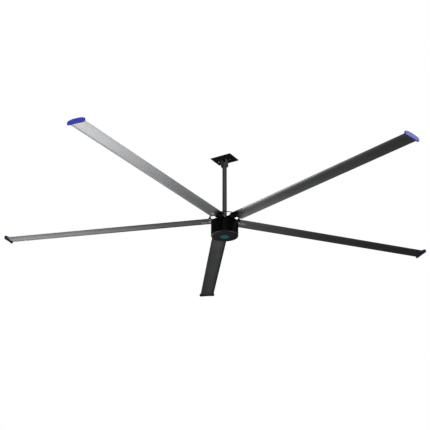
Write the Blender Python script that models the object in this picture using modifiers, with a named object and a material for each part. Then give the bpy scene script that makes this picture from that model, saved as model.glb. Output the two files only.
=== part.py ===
"""High volume low speed ceiling fan: five hollow blades on a direct drive motor, hung on a tube.

Run with: blender --background --python part.py
Metres, +Z up. The origin is the centre of the ceiling plate's top face, and everything hangs below.
+X is along the ceiling plate's long side and the hinge bolt.
"""
from math import acos, asin, cos, pi, radians, sin, sqrt

import bmesh
import bpy

ORIGIN = (0.0, 0.0, 0.0)

# Fits and round shapes
SEAT_GAP = 0.0003            # left between any two pieces that touch
OVERRUN = 0.004              # how far a cutter runs past what it cuts
MERGE_DISTANCE = 0.00001     # points closer than this are one point
ROUND_STEPS = 42             # sides of the drum and the safety ring
SHAFT_STEPS = 24             # sides of the tube, shaft, flanges and bearings
SMALL_STEPS = 12             # sides of holes, shanks and small turned pieces
CORNER_STEPS = 4             # straight runs in one rounded corner
EAR_ARC_STEPS = 12           # straight runs round a clevis ear's end
SHAFT_NUT_SIDES = 8

# Ceiling plate
PLATE_LENGTH = 0.305
PLATE_WIDTH = 0.232
PLATE_THICKNESS = 0.008
PLATE_CORNER = 0.006
PLATE_HOLE_RADIUS = 0.007
PLATE_HOLE_INSET = 0.028

# Clevis bracket, one folded and welded piece below the plate
CLEVIS_BASE_LENGTH = 0.214
CLEVIS_BASE_WIDTH = 0.072
CLEVIS_BASE_THICKNESS = 0.006
CLEVIS_BOLT_SPREAD = 0.085   # from the centre to each bolt
EAR_DROP = 0.122             # from the plate down to the ears' ends
EAR_WIDTH = 0.070
EAR_THICKNESS = 0.006
EAR_SIDE_CLEARANCE = 0.0025  # between an ear and the tube

# Hexagon bolts: M16 hinge bolt, M12 structural bolts
M16_SHANK_RADIUS = 0.008
M16_FLATS = 0.024
M16_HEAD_HEIGHT = 0.010
M16_NUT_HEIGHT = 0.013
M12_SHANK_RADIUS = 0.006
M12_FLATS = 0.019
M12_HEAD_HEIGHT = 0.0075
BOLT_TAIL = 0.004            # thread past a nut
THREAD_DEPTH = 0.006         # bolt left inside a blind thread

# Down tube: 2 inch steel pipe and its welded flange
TUBE_RADIUS = 0.03015
TUBE_WALL = 0.0039
TUBE_ABOVE_HINGE = 0.030
TUBE_FLANGE_RADIUS = 0.066
TUBE_FLANGE_THICKNESS = 0.010
TUBE_WELD = 0.008
TUBE_FLANGE_TOP = 0.042      # above the blade plane
FLANGE_BOLT_CIRCLE = 0.050
FLANGE_BOLT_COUNT = 4
GROMMET_FLANGE = 0.0035
GROMMET_DEPTH = 0.012
GROMMET_BORE = 0.010

# Blade plane, below the ceiling plate's top face
BLADE_PLANE_DROP = 0.896
BLADE_COUNT = 5
FIRST_BLADE_ANGLE = radians(-90.0)

# Motor shaft, fixed; the rotor runs round it on two 60 x 95 x 18 mm ball bearings
SHAFT_RADIUS = 0.030
SHAFT_SHOULDER_RADIUS = 0.034
SHAFT_BORE = 0.012
SHAFT_FLANGE_RADIUS = 0.066
SHAFT_FLANGE_THICKNESS = 0.010
SHAFT_END_DROP = 0.2195
CARRIER_RADIUS = 0.112
CARRIER_RIM = 0.008
CARRIER_WEB = 0.014
SHAFT_NUT_RADIUS = 0.039
SHAFT_NUT_HEIGHT = 0.007
BEARING_OUTER_RADIUS = 0.0475
BEARING_WIDTH = 0.018
RACE_SECTION_SHARE = 0.24    # of the bearing's radial section: a race's thickness
BALL_SECTION_SHARE = 2 / 7   # of the bearing's radial section: a ball's radius
BALL_COUNT = 10
CAGE_THICKNESS = 0.0030
CAGE_WIDTH = 0.0060
RACE_GROOVE_CLEARANCE = 0.0005
GROOVE_STEPS = 3
BALL_SEGMENTS = 6
BALL_RINGS = 5
UPPER_BEARING_DROP = 0.004   # top of the upper bearing, below the blade plane
LOWER_BEARING_DROP = 0.193

# Stator
STATOR_RADIUS = 0.161
STATOR_HEIGHT = 0.076
STATOR_TOP_DROP = 0.070
STATOR_TOOTH_COUNT = 24
STATOR_SLOT_DEPTH = 0.030
STATOR_SLOT_WIDTH = 0.016
WINDING_INSET = 0.003
WINDING_HEIGHT = 0.018
AIR_GAP = 0.0015
MAGNET_THICKNESS = 0.008
MAGNET_OVERHANG = 0.004

# Rotor drum
DRUM_RADIUS = 0.1786
DRUM_TOP_DROP = 0.020
DRUM_BOTTOM_DROP = 0.229
DRUM_EDGE_ROUND = 0.016
END_BELL_THICKNESS = 0.012
PLATFORM_RADIUS = 0.125
PLATFORM_BORE_GAP = 0.002    # between the end bell's top lip and the shaft
BEARING_HOUSING_WALL = 0.011
BEARING_LIP = 0.004
COVER_ROUND_STEPS = 5
COVER_THICKNESS = 0.006
COVER_RIM_WALL = 0.0078
BADGE_RADIUS = 0.059
BADGE_THICKNESS = 0.003

# Strut, a flat bar bolted on the drum; its tongue fills the blade's middle cell
STRUT_INNER_RADIUS = 0.076
STRUT_LEVEL_END = 0.1940     # where the level bar ends and the pitched tongue goes on
STRUT_OUTER_RADIUS = 0.450
STRUT_WIDTH = 0.056
STRUT_THICKNESS = 0.0130
STRUT_BOLT_RADIUS = 0.105
STRUT_BLEND = 0.004          # overlap of bar and tongue

# Blade, extruded aluminium
BLADE_ROOT_RADIUS = 0.195
FAN_RADIUS = 3.050
BLADE_CHORD = 0.210
BLADE_THICKNESS = 0.0235
BLADE_CAMBER = 0.0092
BLADE_WALL = 0.0024
BLADE_WEB = 0.0025
BLADE_TRAILING_EDGE = 0.0024
BLADE_PITCH = radians(3.8)
BLADE_TRAIL = 0.016          # mid chord, behind the strut's centre line
CAMBER_CREST_SHARE = 0.42    # of the chord, from the leading edge
FRONT_CELL_SHARE = 0.03      # where the first hollow cell starts
REAR_CELL_SHARE = 0.90       # where the last one ends
SECTION_POINTS = 13          # on each side of the blade's section
CELL_POINTS = 5              # on each side of a hollow cell
CELL_CORNER = 0.0005
BLADE_BOLT_RADIUS = 0.272    # from the fan's axis

# Tip cap
CAP_THICKNESS = 0.015
CAP_LENGTH = 0.238
CAP_FRONT_HEIGHT = 0.052     # at the leading edge
CAP_REAR_HEIGHT = 0.042
CAP_POINTS = 12
CAP_SQUARENESS = 5           # power of the outline's end curves: 2 is an ellipse

# Safety ring above the blade roots
RING_OUTER_RADIUS = 0.200
RING_WIDTH = 0.020
RING_THICKNESS = 0.0045
RING_HEIGHT = 0.0450         # middle of the ring, above the blade plane
POST_RADIUS = 0.0048
POST_STATION = 0.1885
POST_HEAD_RADIUS = 0.0072
POST_HEAD_HEIGHT = 0.005
POST_STEPS = 8

# Places worked out from the sizes above. Heights are above the blade plane.
HINGE_HEIGHT = BLADE_PLANE_DROP - PLATE_THICKNESS - EAR_DROP + EAR_WIDTH / 2
SHAFT_FLANGE_TOP = TUBE_FLANGE_TOP - TUBE_FLANGE_THICKNESS - SEAT_GAP
SHAFT_FLANGE_BOTTOM = SHAFT_FLANGE_TOP - SHAFT_FLANGE_THICKNESS
STRUT_CENTRE_HEIGHT = BLADE_CAMBER
STRUT_TOP = STRUT_CENTRE_HEIGHT + STRUT_THICKNESS / 2
PLATFORM_TOP = STRUT_CENTRE_HEIGHT - STRUT_THICKNESS / 2 - SEAT_GAP
DRUM_INNER_RADIUS = STATOR_RADIUS + AIR_GAP + MAGNET_THICKNESS + SEAT_GAP
BEARING_SECTION = BEARING_OUTER_RADIUS - SHAFT_RADIUS
BEARING_RACE = RACE_SECTION_SHARE * BEARING_SECTION
BALL_RADIUS = BALL_SECTION_SHARE * BEARING_SECTION
EAR_INNER = TUBE_RADIUS + EAR_SIDE_CLEARANCE
EAR_OUTER = EAR_INNER + EAR_THICKNESS
CAP_INNER_RADIUS = FAN_RADIUS - CAP_THICKNESS
BLADE_TIP_RADIUS = CAP_INNER_RADIUS - SEAT_GAP
BLADE_TURN = (pi / 2, -BLADE_PITCH, -pi / 2)   # a section drawn flat, then stood up across the arm
HEAD_DOWN = (pi, 0.0, 0.0)
ALONG_X = (0.0, pi / 2, 0.0)
BLADE_PLACE = ((BLADE_ROOT_RADIUS + BLADE_TIP_RADIUS) / 2, 0.0, 0.0)
STRUT_PLACE = ((STRUT_INNER_RADIUS + STRUT_LEVEL_END) / 2, 0.0, STRUT_CENTRE_HEIGHT)


def clear_scene():
    for item in list(bpy.data.objects):
        bpy.data.objects.remove(item, do_unlink=True)


def new_collection(name):
    collection = bpy.data.collections.new(name)
    bpy.context.scene.collection.children.link(collection)
    return collection


clear_scene()
FAN = new_collection("high_volume_low_speed_fan")
CUTTERS = new_collection("cutters")


def make_material(name, colour, roughness, metallic):
    material = bpy.data.materials.new(name)
    material.use_nodes = True
    shader = material.node_tree.nodes["Principled BSDF"]
    shader.inputs["Base Color"].default_value = (*colour, 1.0)
    shader.inputs["Roughness"].default_value = roughness
    shader.inputs["Metallic"].default_value = metallic
    return material


BLACK_STEEL = make_material("black_powder_coated_steel", (0.030, 0.030, 0.032), 0.45, 0.0)
GREY_STEEL = make_material("grey_painted_steel", (0.080, 0.080, 0.085), 0.42, 0.2)
DARK_ALUMINIUM = make_material("dark_anodised_aluminium", (0.110, 0.112, 0.120), 0.32, 0.8)
CAST_BLACK = make_material("black_painted_casting", (0.012, 0.012, 0.013), 0.40, 0.0)
BLUE_PLASTIC = make_material("blue_moulded_plastic", (0.040, 0.060, 0.550), 0.38, 0.0)
TEAL_PLASTIC = make_material("teal_moulded_plastic", (0.020, 0.220, 0.270), 0.30, 0.0)
ZINC_STEEL = make_material("zinc_plated_steel", (0.420, 0.420, 0.430), 0.35, 0.9)
BEARING_STEEL = make_material("bearing_steel", (0.560, 0.560, 0.580), 0.20, 1.0)
CORE_STEEL = make_material("laminated_core_steel", (0.180, 0.180, 0.190), 0.50, 0.8)
COPPER = make_material("enamelled_copper", (0.560, 0.210, 0.060), 0.35, 0.9)
MAGNET = make_material("sintered_magnet", (0.220, 0.220, 0.230), 0.40, 0.7)
RUBBER = make_material("black_rubber", (0.020, 0.020, 0.020), 0.80, 0.0)


def place(item, parent, location, rotation):
    item.location = location
    item.rotation_euler = rotation
    item.parent = parent


def new_axis(name, parent, location, rotation=ORIGIN):
    """Returns an empty that carries the pieces turning about one axis."""
    axis = bpy.data.objects.new(name, None)
    FAN.objects.link(axis)
    place(axis, parent, location, rotation)
    return axis


def add_object(name, mesh, material, parent, location=ORIGIN, rotation=ORIGIN):
    """Adds a finished mesh as a named sub-part, or as a cutter where it has no material."""
    item = bpy.data.objects.new(name, mesh)
    if material is None:
        CUTTERS.objects.link(item)
        item.hide_render = True
        item.display_type = "WIRE"
    else:
        FAN.objects.link(item)
        mesh.materials.clear()
        mesh.materials.append(material)
    place(item, parent, location, rotation)
    return item


def evaluated_mesh(item):
    """Returns the item's mesh with its modifiers applied, caps welded, and removes the item."""
    bpy.context.view_layer.update()
    depsgraph = bpy.context.evaluated_depsgraph_get()
    mesh = bpy.data.meshes.new_from_object(item.evaluated_get(depsgraph))
    work = bmesh.new()
    work.from_mesh(mesh)
    bmesh.ops.remove_doubles(work, verts=work.verts, dist=MERGE_DISTANCE)
    bmesh.ops.recalc_face_normals(work, faces=work.faces)
    work.to_mesh(mesh)
    work.free()
    bpy.data.objects.remove(item, do_unlink=True)
    return mesh


def smooth(mesh, angle=radians(35.0)):
    mesh.shade_smooth()
    mesh.set_sharp_from_angle(angle=angle)


def turned_mesh(name, profile, steps=ROUND_STEPS, closed=True):
    """Turns a profile of (radius, height) about Z. It runs down the outer side first."""
    mesh = bpy.data.meshes.new(name)
    count = len(profile)
    edges = [(i, (i + 1) % count) for i in range(count if closed else count - 1)]
    mesh.from_pydata([(radius, 0.0, height) for radius, height in profile], edges, [])
    item = bpy.data.objects.new(name, mesh)
    CUTTERS.objects.link(item)
    screw = item.modifiers.new("turn", "SCREW")
    screw.steps = steps
    screw.render_steps = steps
    screw.use_merge_vertices = True
    screw.merge_threshold = MERGE_DISTANCE
    result = evaluated_mesh(item)
    smooth(result)
    return result


def circle_loop(radius, centre=(0.0, 0.0), steps=SMALL_STEPS):
    x, y = centre
    angles = [2 * pi * step / steps for step in range(steps)]
    return [(x + radius * cos(angle), y + radius * sin(angle)) for angle in angles]


def rounded_rectangle(length, width, corner, centre=(0.0, 0.0)):
    """Returns the points of a rectangle with round corners, counter-clockwise."""
    points = []
    for quarter, (side_x, side_y) in enumerate(((1, 1), (-1, 1), (-1, -1), (1, -1))):
        middle_x = centre[0] + side_x * (length / 2 - corner)
        middle_y = centre[1] + side_y * (width / 2 - corner)
        for step in range(CORNER_STEPS + 1):
            angle = (quarter + step / CORNER_STEPS) * pi / 2
            points.append((middle_x + corner * cos(angle), middle_y + corner * sin(angle)))
    return points


def outline_mesh(name, loops, thickness):
    """Fills flat outlines, the first outside and the others holes, to a plate centred on Z."""
    curve = bpy.data.curves.new(name, "CURVE")
    curve.dimensions = "2D"
    curve.fill_mode = "BOTH"
    curve.extrude = thickness / 2
    for points in loops:
        spline = curve.splines.new("POLY")
        spline.points.add(len(points) - 1)
        for point, (x, y) in zip(spline.points, points):
            point.co = (x, y, 0.0, 1.0)
        spline.use_cyclic_u = True
    item = bpy.data.objects.new(name, curve)
    CUTTERS.objects.link(item)
    return evaluated_mesh(item)


def box_mesh(name, size):
    mesh = bpy.data.meshes.new(name)
    work = bmesh.new()
    bmesh.ops.create_cube(work, size=1.0)
    bmesh.ops.scale(work, vec=size, verts=work.verts)
    work.to_mesh(mesh)
    work.free()
    return mesh


def cylinder_mesh(name, radius, top, bottom, sides=SMALL_STEPS):
    """Makes a plain rod on the Z axis between two heights."""
    mesh = bpy.data.meshes.new(name)
    work = bmesh.new()
    depth = top - bottom
    bmesh.ops.create_cone(
        work, cap_ends=True, segments=sides, radius1=radius, radius2=radius, depth=depth
    )
    bmesh.ops.translate(work, vec=(0.0, 0.0, bottom + depth / 2), verts=work.verts)
    work.to_mesh(mesh)
    work.free()
    return mesh


def combine(item, other, operation):
    """Adds or cuts one object with an EXACT Boolean."""
    boolean = item.modifiers.new(operation.lower(), "BOOLEAN")
    boolean.operation = operation
    boolean.solver = "EXACT"
    boolean.object = other


def cut(item, cutter):
    combine(item, cutter, "DIFFERENCE")


def hex_bolt_mesh(name, shank_radius, flats, head_height, length):
    """Head above Z zero, shank below it."""
    corner = flats / sqrt(3)
    head = add_object(name + "_head", cylinder_mesh(name, corner, head_height, 0.0, 6), None, None)
    shank_mesh = cylinder_mesh(name, shank_radius, head_height / 2, -length)
    shank = add_object(name + "_shank", shank_mesh, None, None)
    combine(head, shank, "UNION")
    mesh = evaluated_mesh(head)
    bpy.data.objects.remove(shank, do_unlink=True)
    smooth(mesh)
    return mesh


def hexagon_loop(flats):
    return circle_loop(flats / sqrt(3), steps=6)


# The axes that things turn about, from the ceiling down
SWING_AXIS = new_axis("clevis_swing_axis", None, (0.0, 0.0, HINGE_HEIGHT - BLADE_PLANE_DROP))
HUB_AXIS = new_axis("hub_centre", SWING_AXIS, (0.0, 0.0, -HINGE_HEIGHT))
ROTOR_AXIS = new_axis("rotor_spin_axis", HUB_AXIS, ORIGIN)


def make_ceiling_plate():
    spread_x = PLATE_LENGTH / 2 - PLATE_HOLE_INSET
    spread_y = PLATE_WIDTH / 2 - PLATE_HOLE_INSET
    loops = [rounded_rectangle(PLATE_LENGTH, PLATE_WIDTH, PLATE_CORNER)]
    for side_x in (-1, 1):
        for side_y in (-1, 1):
            loops.append(circle_loop(PLATE_HOLE_RADIUS, (side_x * spread_x, side_y * spread_y)))
        loops.append(circle_loop(M12_SHANK_RADIUS + SEAT_GAP, (side_x * CLEVIS_BOLT_SPREAD, 0.0)))
    mesh = outline_mesh("ceiling_plate", loops, PLATE_THICKNESS)
    add_object("ceiling_plate", mesh, BLACK_STEEL, None, (0.0, 0.0, -PLATE_THICKNESS / 2))


def make_clevis_bracket():
    """A base bolted to the plate, with two round-ended ears for the hinge bolt."""
    base_top = -PLATE_THICKNESS - SEAT_GAP
    base_middle = base_top - CLEVIS_BASE_THICKNESS / 2
    loops = [rounded_rectangle(CLEVIS_BASE_LENGTH, CLEVIS_BASE_WIDTH, PLATE_CORNER)]
    for side in (-1, 1):
        loops.append(circle_loop(M12_SHANK_RADIUS + SEAT_GAP, (side * CLEVIS_BOLT_SPREAD, 0.0)))
    base_mesh = outline_mesh("clevis_base", loops, CLEVIS_BASE_THICKNESS)
    bracket = add_object("clevis_bracket", base_mesh, BLACK_STEEL, None, (0.0, 0.0, base_middle))

    ear_height = base_middle - (HINGE_HEIGHT - BLADE_PLANE_DROP)
    half = EAR_WIDTH / 2
    angles = [-pi * step / EAR_ARC_STEPS for step in range(EAR_ARC_STEPS + 1)]
    arc = [(half * cos(angle), half * sin(angle)) for angle in angles]
    ear_outline = arc + [(-half, ear_height), (half, ear_height)]
    ear_hole = circle_loop(M16_SHANK_RADIUS + SEAT_GAP)
    ear_mesh = outline_mesh("clevis_ear", [ear_outline, ear_hole], EAR_THICKNESS)
    for side in (-1, 1):
        ear_x = side * (EAR_INNER + EAR_OUTER) / 2
        upright = (pi / 2, 0.0, pi / 2)
        ear = add_object("clevis_ear_shape", ear_mesh, None, SWING_AXIS, (ear_x, 0.0, 0.0), upright)
        combine(bracket, ear, "UNION")

    bolt_length = CLEVIS_BASE_THICKNESS + SEAT_GAP + THREAD_DEPTH
    bolt_mesh = hex_bolt_mesh("clevis_bolt", M12_SHANK_RADIUS, M12_FLATS, M12_HEAD_HEIGHT, bolt_length)
    head_face = base_top - CLEVIS_BASE_THICKNESS - SEAT_GAP
    for side, name in ((-1, "clevis_bolt_left"), (1, "clevis_bolt_right")):
        spot = (side * CLEVIS_BOLT_SPREAD, 0.0, head_face)
        add_object(name, bolt_mesh, ZINC_STEEL, None, spot, HEAD_DOWN)


def make_hinge_bolt():
    """The bolt that the whole fan swings on, with its nut."""
    length = 2 * EAR_OUTER + 2 * SEAT_GAP + SEAT_GAP + M16_NUT_HEIGHT + BOLT_TAIL
    mesh = hex_bolt_mesh("hinge_bolt", M16_SHANK_RADIUS, M16_FLATS, M16_HEAD_HEIGHT, length)
    hinge_z = HINGE_HEIGHT - BLADE_PLANE_DROP
    add_object("hinge_bolt", mesh, ZINC_STEEL, None, (EAR_OUTER + SEAT_GAP, 0.0, hinge_z), ALONG_X)
    loops = [hexagon_loop(M16_FLATS), circle_loop(M16_SHANK_RADIUS + SEAT_GAP)]
    nut_mesh = outline_mesh("hinge_nut", loops, M16_NUT_HEIGHT)
    nut_x = -(EAR_OUTER + 2 * SEAT_GAP + M16_NUT_HEIGHT / 2)
    add_object("hinge_nut", nut_mesh, ZINC_STEEL, None, (nut_x, 0.0, hinge_z), ALONG_X)


def make_down_tube():
    """The pipe hangs on the hinge bolt. Its flange is welded on, with a fillet round the foot."""
    top = TUBE_ABOVE_HINGE
    bottom = TUBE_FLANGE_TOP - HINGE_HEIGHT + SEAT_GAP
    bore = TUBE_RADIUS - TUBE_WALL
    profile = [(TUBE_RADIUS, top), (TUBE_RADIUS, bottom), (bore, bottom), (bore, top)]
    mesh = turned_mesh("extension_tube", profile, SHAFT_STEPS)
    tube = add_object("extension_tube", mesh, GREY_STEEL, SWING_AXIS)
    reach = TUBE_RADIUS + OVERRUN
    cross_hole = cylinder_mesh("hinge_hole", M16_SHANK_RADIUS + SEAT_GAP, reach, -reach)
    cut(tube, add_object("hinge_hole_cutter", cross_hole, None, SWING_AXIS, ORIGIN, ALONG_X))

    flange_bottom = TUBE_FLANGE_TOP - TUBE_FLANGE_THICKNESS
    weld_inner = TUBE_RADIUS + SEAT_GAP
    flange_profile = [
        (weld_inner, TUBE_FLANGE_TOP + TUBE_WELD),
        (weld_inner + TUBE_WELD, TUBE_FLANGE_TOP),
        (TUBE_FLANGE_RADIUS, TUBE_FLANGE_TOP),
        (TUBE_FLANGE_RADIUS, flange_bottom),
        (bore, flange_bottom),
        (bore, TUBE_FLANGE_TOP),
        (weld_inner, TUBE_FLANGE_TOP),
    ]
    flange_mesh = turned_mesh("tube_flange", flange_profile, SHAFT_STEPS)
    flange = add_object("tube_flange", flange_mesh, GREY_STEEL, HUB_AXIS)
    hole_bottom = -TUBE_FLANGE_THICKNESS - OVERRUN
    hole_mesh = cylinder_mesh("flange_hole", M12_SHANK_RADIUS + SEAT_GAP, OVERRUN, hole_bottom)
    bolt_length = TUBE_FLANGE_THICKNESS + 2 * SEAT_GAP + THREAD_DEPTH
    bolt_mesh = hex_bolt_mesh("flange_bolt", M12_SHANK_RADIUS, M12_FLATS, M12_HEAD_HEIGHT, bolt_length)
    for index in range(FLANGE_BOLT_COUNT):
        angle = 2 * pi * (index + 0.5) / FLANGE_BOLT_COUNT
        x = FLANGE_BOLT_CIRCLE * cos(angle)
        y = FLANGE_BOLT_CIRCLE * sin(angle)
        cutter = add_object("flange_hole_cutter", hole_mesh, None, HUB_AXIS, (x, y, TUBE_FLANGE_TOP))
        cut(flange, cutter)
        head_face = TUBE_FLANGE_TOP + SEAT_GAP
        add_object("flange_bolt_%d" % (index + 1), bolt_mesh, ZINC_STEEL, HUB_AXIS, (x, y, head_face))


def make_lead_grommet():
    """A rubber bush in the tube's open top, where the power lead goes in."""
    seat = TUBE_RADIUS - TUBE_WALL - SEAT_GAP
    top = TUBE_ABOVE_HINGE + SEAT_GAP
    profile = [
        (TUBE_RADIUS, top + GROMMET_FLANGE),
        (TUBE_RADIUS, top),
        (seat, top),
        (seat, top - GROMMET_DEPTH),
        (GROMMET_BORE, top - GROMMET_DEPTH),
        (GROMMET_BORE, top + GROMMET_FLANGE),
    ]
    add_object("lead_grommet", turned_mesh("lead_grommet", profile, SMALL_STEPS), RUBBER, SWING_AXIS)


def make_motor_shaft():
    """One forging: top flange, bearing seats, and the web and rim that carry the stator."""
    upper_shoulder = -UPPER_BEARING_DROP - BEARING_WIDTH - SEAT_GAP
    lower_shoulder = -LOWER_BEARING_DROP + SEAT_GAP
    rim_top = -STATOR_TOP_DROP
    rim_bottom = rim_top - STATOR_HEIGHT
    web_top = (rim_top + rim_bottom + CARRIER_WEB) / 2
    web_bottom = web_top - CARRIER_WEB
    rim_inner = CARRIER_RADIUS - CARRIER_RIM
    profile = [
        (SHAFT_FLANGE_RADIUS, SHAFT_FLANGE_TOP),
        (SHAFT_FLANGE_RADIUS, SHAFT_FLANGE_BOTTOM),
        (SHAFT_RADIUS, SHAFT_FLANGE_BOTTOM),
        (SHAFT_RADIUS, upper_shoulder),
        (SHAFT_SHOULDER_RADIUS, upper_shoulder),
        (SHAFT_SHOULDER_RADIUS, web_top),
        (rim_inner, web_top),
        (rim_inner, rim_top),
        (CARRIER_RADIUS, rim_top),
        (CARRIER_RADIUS, rim_bottom),
        (rim_inner, rim_bottom),
        (rim_inner, web_bottom),
        (SHAFT_SHOULDER_RADIUS, web_bottom),
        (SHAFT_SHOULDER_RADIUS, lower_shoulder),
        (SHAFT_RADIUS, lower_shoulder),
        (SHAFT_RADIUS, -SHAFT_END_DROP),
        (SHAFT_BORE, -SHAFT_END_DROP),
        (SHAFT_BORE, SHAFT_FLANGE_TOP),
    ]
    shaft_mesh = turned_mesh("motor_shaft", profile, SHAFT_STEPS)
    shaft = add_object("motor_shaft", shaft_mesh, GREY_STEEL, HUB_AXIS)
    hole_bottom = -SHAFT_FLANGE_THICKNESS - OVERRUN
    hole_mesh = cylinder_mesh("shaft_hole", M12_SHANK_RADIUS + SEAT_GAP, OVERRUN, hole_bottom)
    for index in range(FLANGE_BOLT_COUNT):
        angle = 2 * pi * (index + 0.5) / FLANGE_BOLT_COUNT
        x, y = FLANGE_BOLT_CIRCLE * cos(angle), FLANGE_BOLT_CIRCLE * sin(angle)
        spot = (x, y, SHAFT_FLANGE_TOP)
        cut(shaft, add_object("shaft_hole_cutter", hole_mesh, None, HUB_AXIS, spot))

    nut_top = -LOWER_BEARING_DROP - BEARING_WIDTH - SEAT_GAP
    outline = circle_loop(SHAFT_NUT_RADIUS, steps=SHAFT_NUT_SIDES)
    loops = [outline, circle_loop(SHAFT_RADIUS + SEAT_GAP, steps=SHAFT_STEPS)]
    nut_mesh = outline_mesh("shaft_nut", loops, SHAFT_NUT_HEIGHT)
    add_object("shaft_nut", nut_mesh, ZINC_STEEL, HUB_AXIS, (0.0, 0.0, nut_top - SHAFT_NUT_HEIGHT / 2))


def groove_points(land_radius, side):
    """A race's round groove, top edge first. Side is 1 on the inner race and -1 on the outer one."""
    depth = BALL_RADIUS + RACE_GROOVE_CLEARANCE
    pitch_radius = bearing_pitch_radius()
    half_angle = acos(abs(pitch_radius - land_radius) / depth)
    points = []
    for step in range(GROOVE_STEPS + 1):
        angle = half_angle * (1 - 2 * step / GROOVE_STEPS)
        points.append((pitch_radius - side * depth * cos(angle), depth * sin(angle)))
    return points


def bearing_pitch_radius():
    return (SHAFT_RADIUS + SEAT_GAP + BEARING_OUTER_RADIUS) / 2


def make_bearing(prefix, top_drop, cage_axis_name):
    """A deep groove ball bearing: inner race, outer race, and the balls in their cage."""
    middle = -top_drop - BEARING_WIDTH / 2
    half = BEARING_WIDTH / 2
    bore = SHAFT_RADIUS + SEAT_GAP
    inner_land = bore + BEARING_RACE
    outer_land = BEARING_OUTER_RADIUS - BEARING_RACE
    inner = [(inner_land, half)] + groove_points(inner_land, 1)
    inner += [(inner_land, -half), (bore, -half), (bore, half)]
    inner_mesh = turned_mesh(prefix + "_inner_race", inner, SHAFT_STEPS)
    add_object(prefix + "_inner_race", inner_mesh, BEARING_STEEL, HUB_AXIS, (0.0, 0.0, middle))

    outer = [(BEARING_OUTER_RADIUS, half), (BEARING_OUTER_RADIUS, -half), (outer_land, -half)]
    outer += list(reversed(groove_points(outer_land, -1))) + [(outer_land, half)]
    outer_mesh = turned_mesh(prefix + "_outer_race", outer, SHAFT_STEPS)
    add_object(prefix + "_outer_race", outer_mesh, BEARING_STEEL, ROTOR_AXIS, (0.0, 0.0, middle))

    pitch_radius = bearing_pitch_radius()
    cage_axis = new_axis(cage_axis_name, HUB_AXIS, (0.0, 0.0, middle))
    cage_outer = pitch_radius + CAGE_THICKNESS / 2
    cage_inner = pitch_radius - CAGE_THICKNESS / 2
    cage_profile = [(cage_outer, CAGE_WIDTH / 2), (cage_outer, -CAGE_WIDTH / 2)]
    cage_profile += [(cage_inner, -CAGE_WIDTH / 2), (cage_inner, CAGE_WIDTH / 2)]
    cage_mesh = turned_mesh("cage", cage_profile, SMALL_STEPS)
    cage = add_object(prefix + "_ball_cage", cage_mesh, BEARING_STEEL, cage_axis)
    ball_mesh = bpy.data.meshes.new("ball")
    work = bmesh.new()
    bmesh.ops.create_uvsphere(work, u_segments=BALL_SEGMENTS, v_segments=BALL_RINGS, radius=BALL_RADIUS)
    work.to_mesh(ball_mesh)
    work.free()
    smooth(ball_mesh)
    for index in range(BALL_COUNT):
        angle = 2 * pi * index / BALL_COUNT
        centre = (pitch_radius * cos(angle), pitch_radius * sin(angle), 0.0)
        ball = add_object("ball_shape", ball_mesh, None, cage_axis, centre, (0.0, 0.0, angle))
        combine(cage, ball, "UNION")


def make_stator():
    """A slotted core of laminations on the shaft's rim, with its end windings above and below."""
    outline = []
    for index in range(STATOR_TOOTH_COUNT):
        centre = 2 * pi * index / STATOR_TOOTH_COUNT
        pitch = 2 * pi / STATOR_TOOTH_COUNT
        floor_radius = STATOR_RADIUS - STATOR_SLOT_DEPTH
        half_slot_top = asin(STATOR_SLOT_WIDTH / 2 / STATOR_RADIUS)
        half_slot_floor = asin(STATOR_SLOT_WIDTH / 2 / floor_radius)
        for radius, angle in (
            (floor_radius, centre - half_slot_floor),
            (floor_radius, centre + half_slot_floor),
            (STATOR_RADIUS, centre + half_slot_top),
            (STATOR_RADIUS, centre + pitch - half_slot_top),
        ):
            outline.append((radius * cos(angle), radius * sin(angle)))
    loops = [outline, circle_loop(CARRIER_RADIUS + SEAT_GAP, steps=SHAFT_STEPS)]
    middle = -STATOR_TOP_DROP - STATOR_HEIGHT / 2
    core_mesh = outline_mesh("stator_core", loops, STATOR_HEIGHT)
    add_object("stator_core", core_mesh, CORE_STEEL, HUB_AXIS, (0.0, 0.0, middle))

    outer = STATOR_RADIUS - WINDING_INSET
    inner = STATOR_RADIUS - STATOR_SLOT_DEPTH
    crown = WINDING_INSET
    profile = [
        (outer - crown, WINDING_HEIGHT),
        (outer, WINDING_HEIGHT - crown),
        (outer, 0.0),
        (inner, 0.0),
        (inner, WINDING_HEIGHT - crown),
        (inner + crown, WINDING_HEIGHT),
    ]
    winding_mesh = turned_mesh("end_winding", profile, SHAFT_STEPS)
    offset = STATOR_HEIGHT / 2 + SEAT_GAP
    upper_place = (0.0, 0.0, middle + offset)
    lower_place = (0.0, 0.0, middle - offset)
    add_object("upper_end_winding", winding_mesh, COPPER, HUB_AXIS, upper_place)
    add_object("lower_end_winding", winding_mesh, COPPER, HUB_AXIS, lower_place, HEAD_DOWN)


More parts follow.
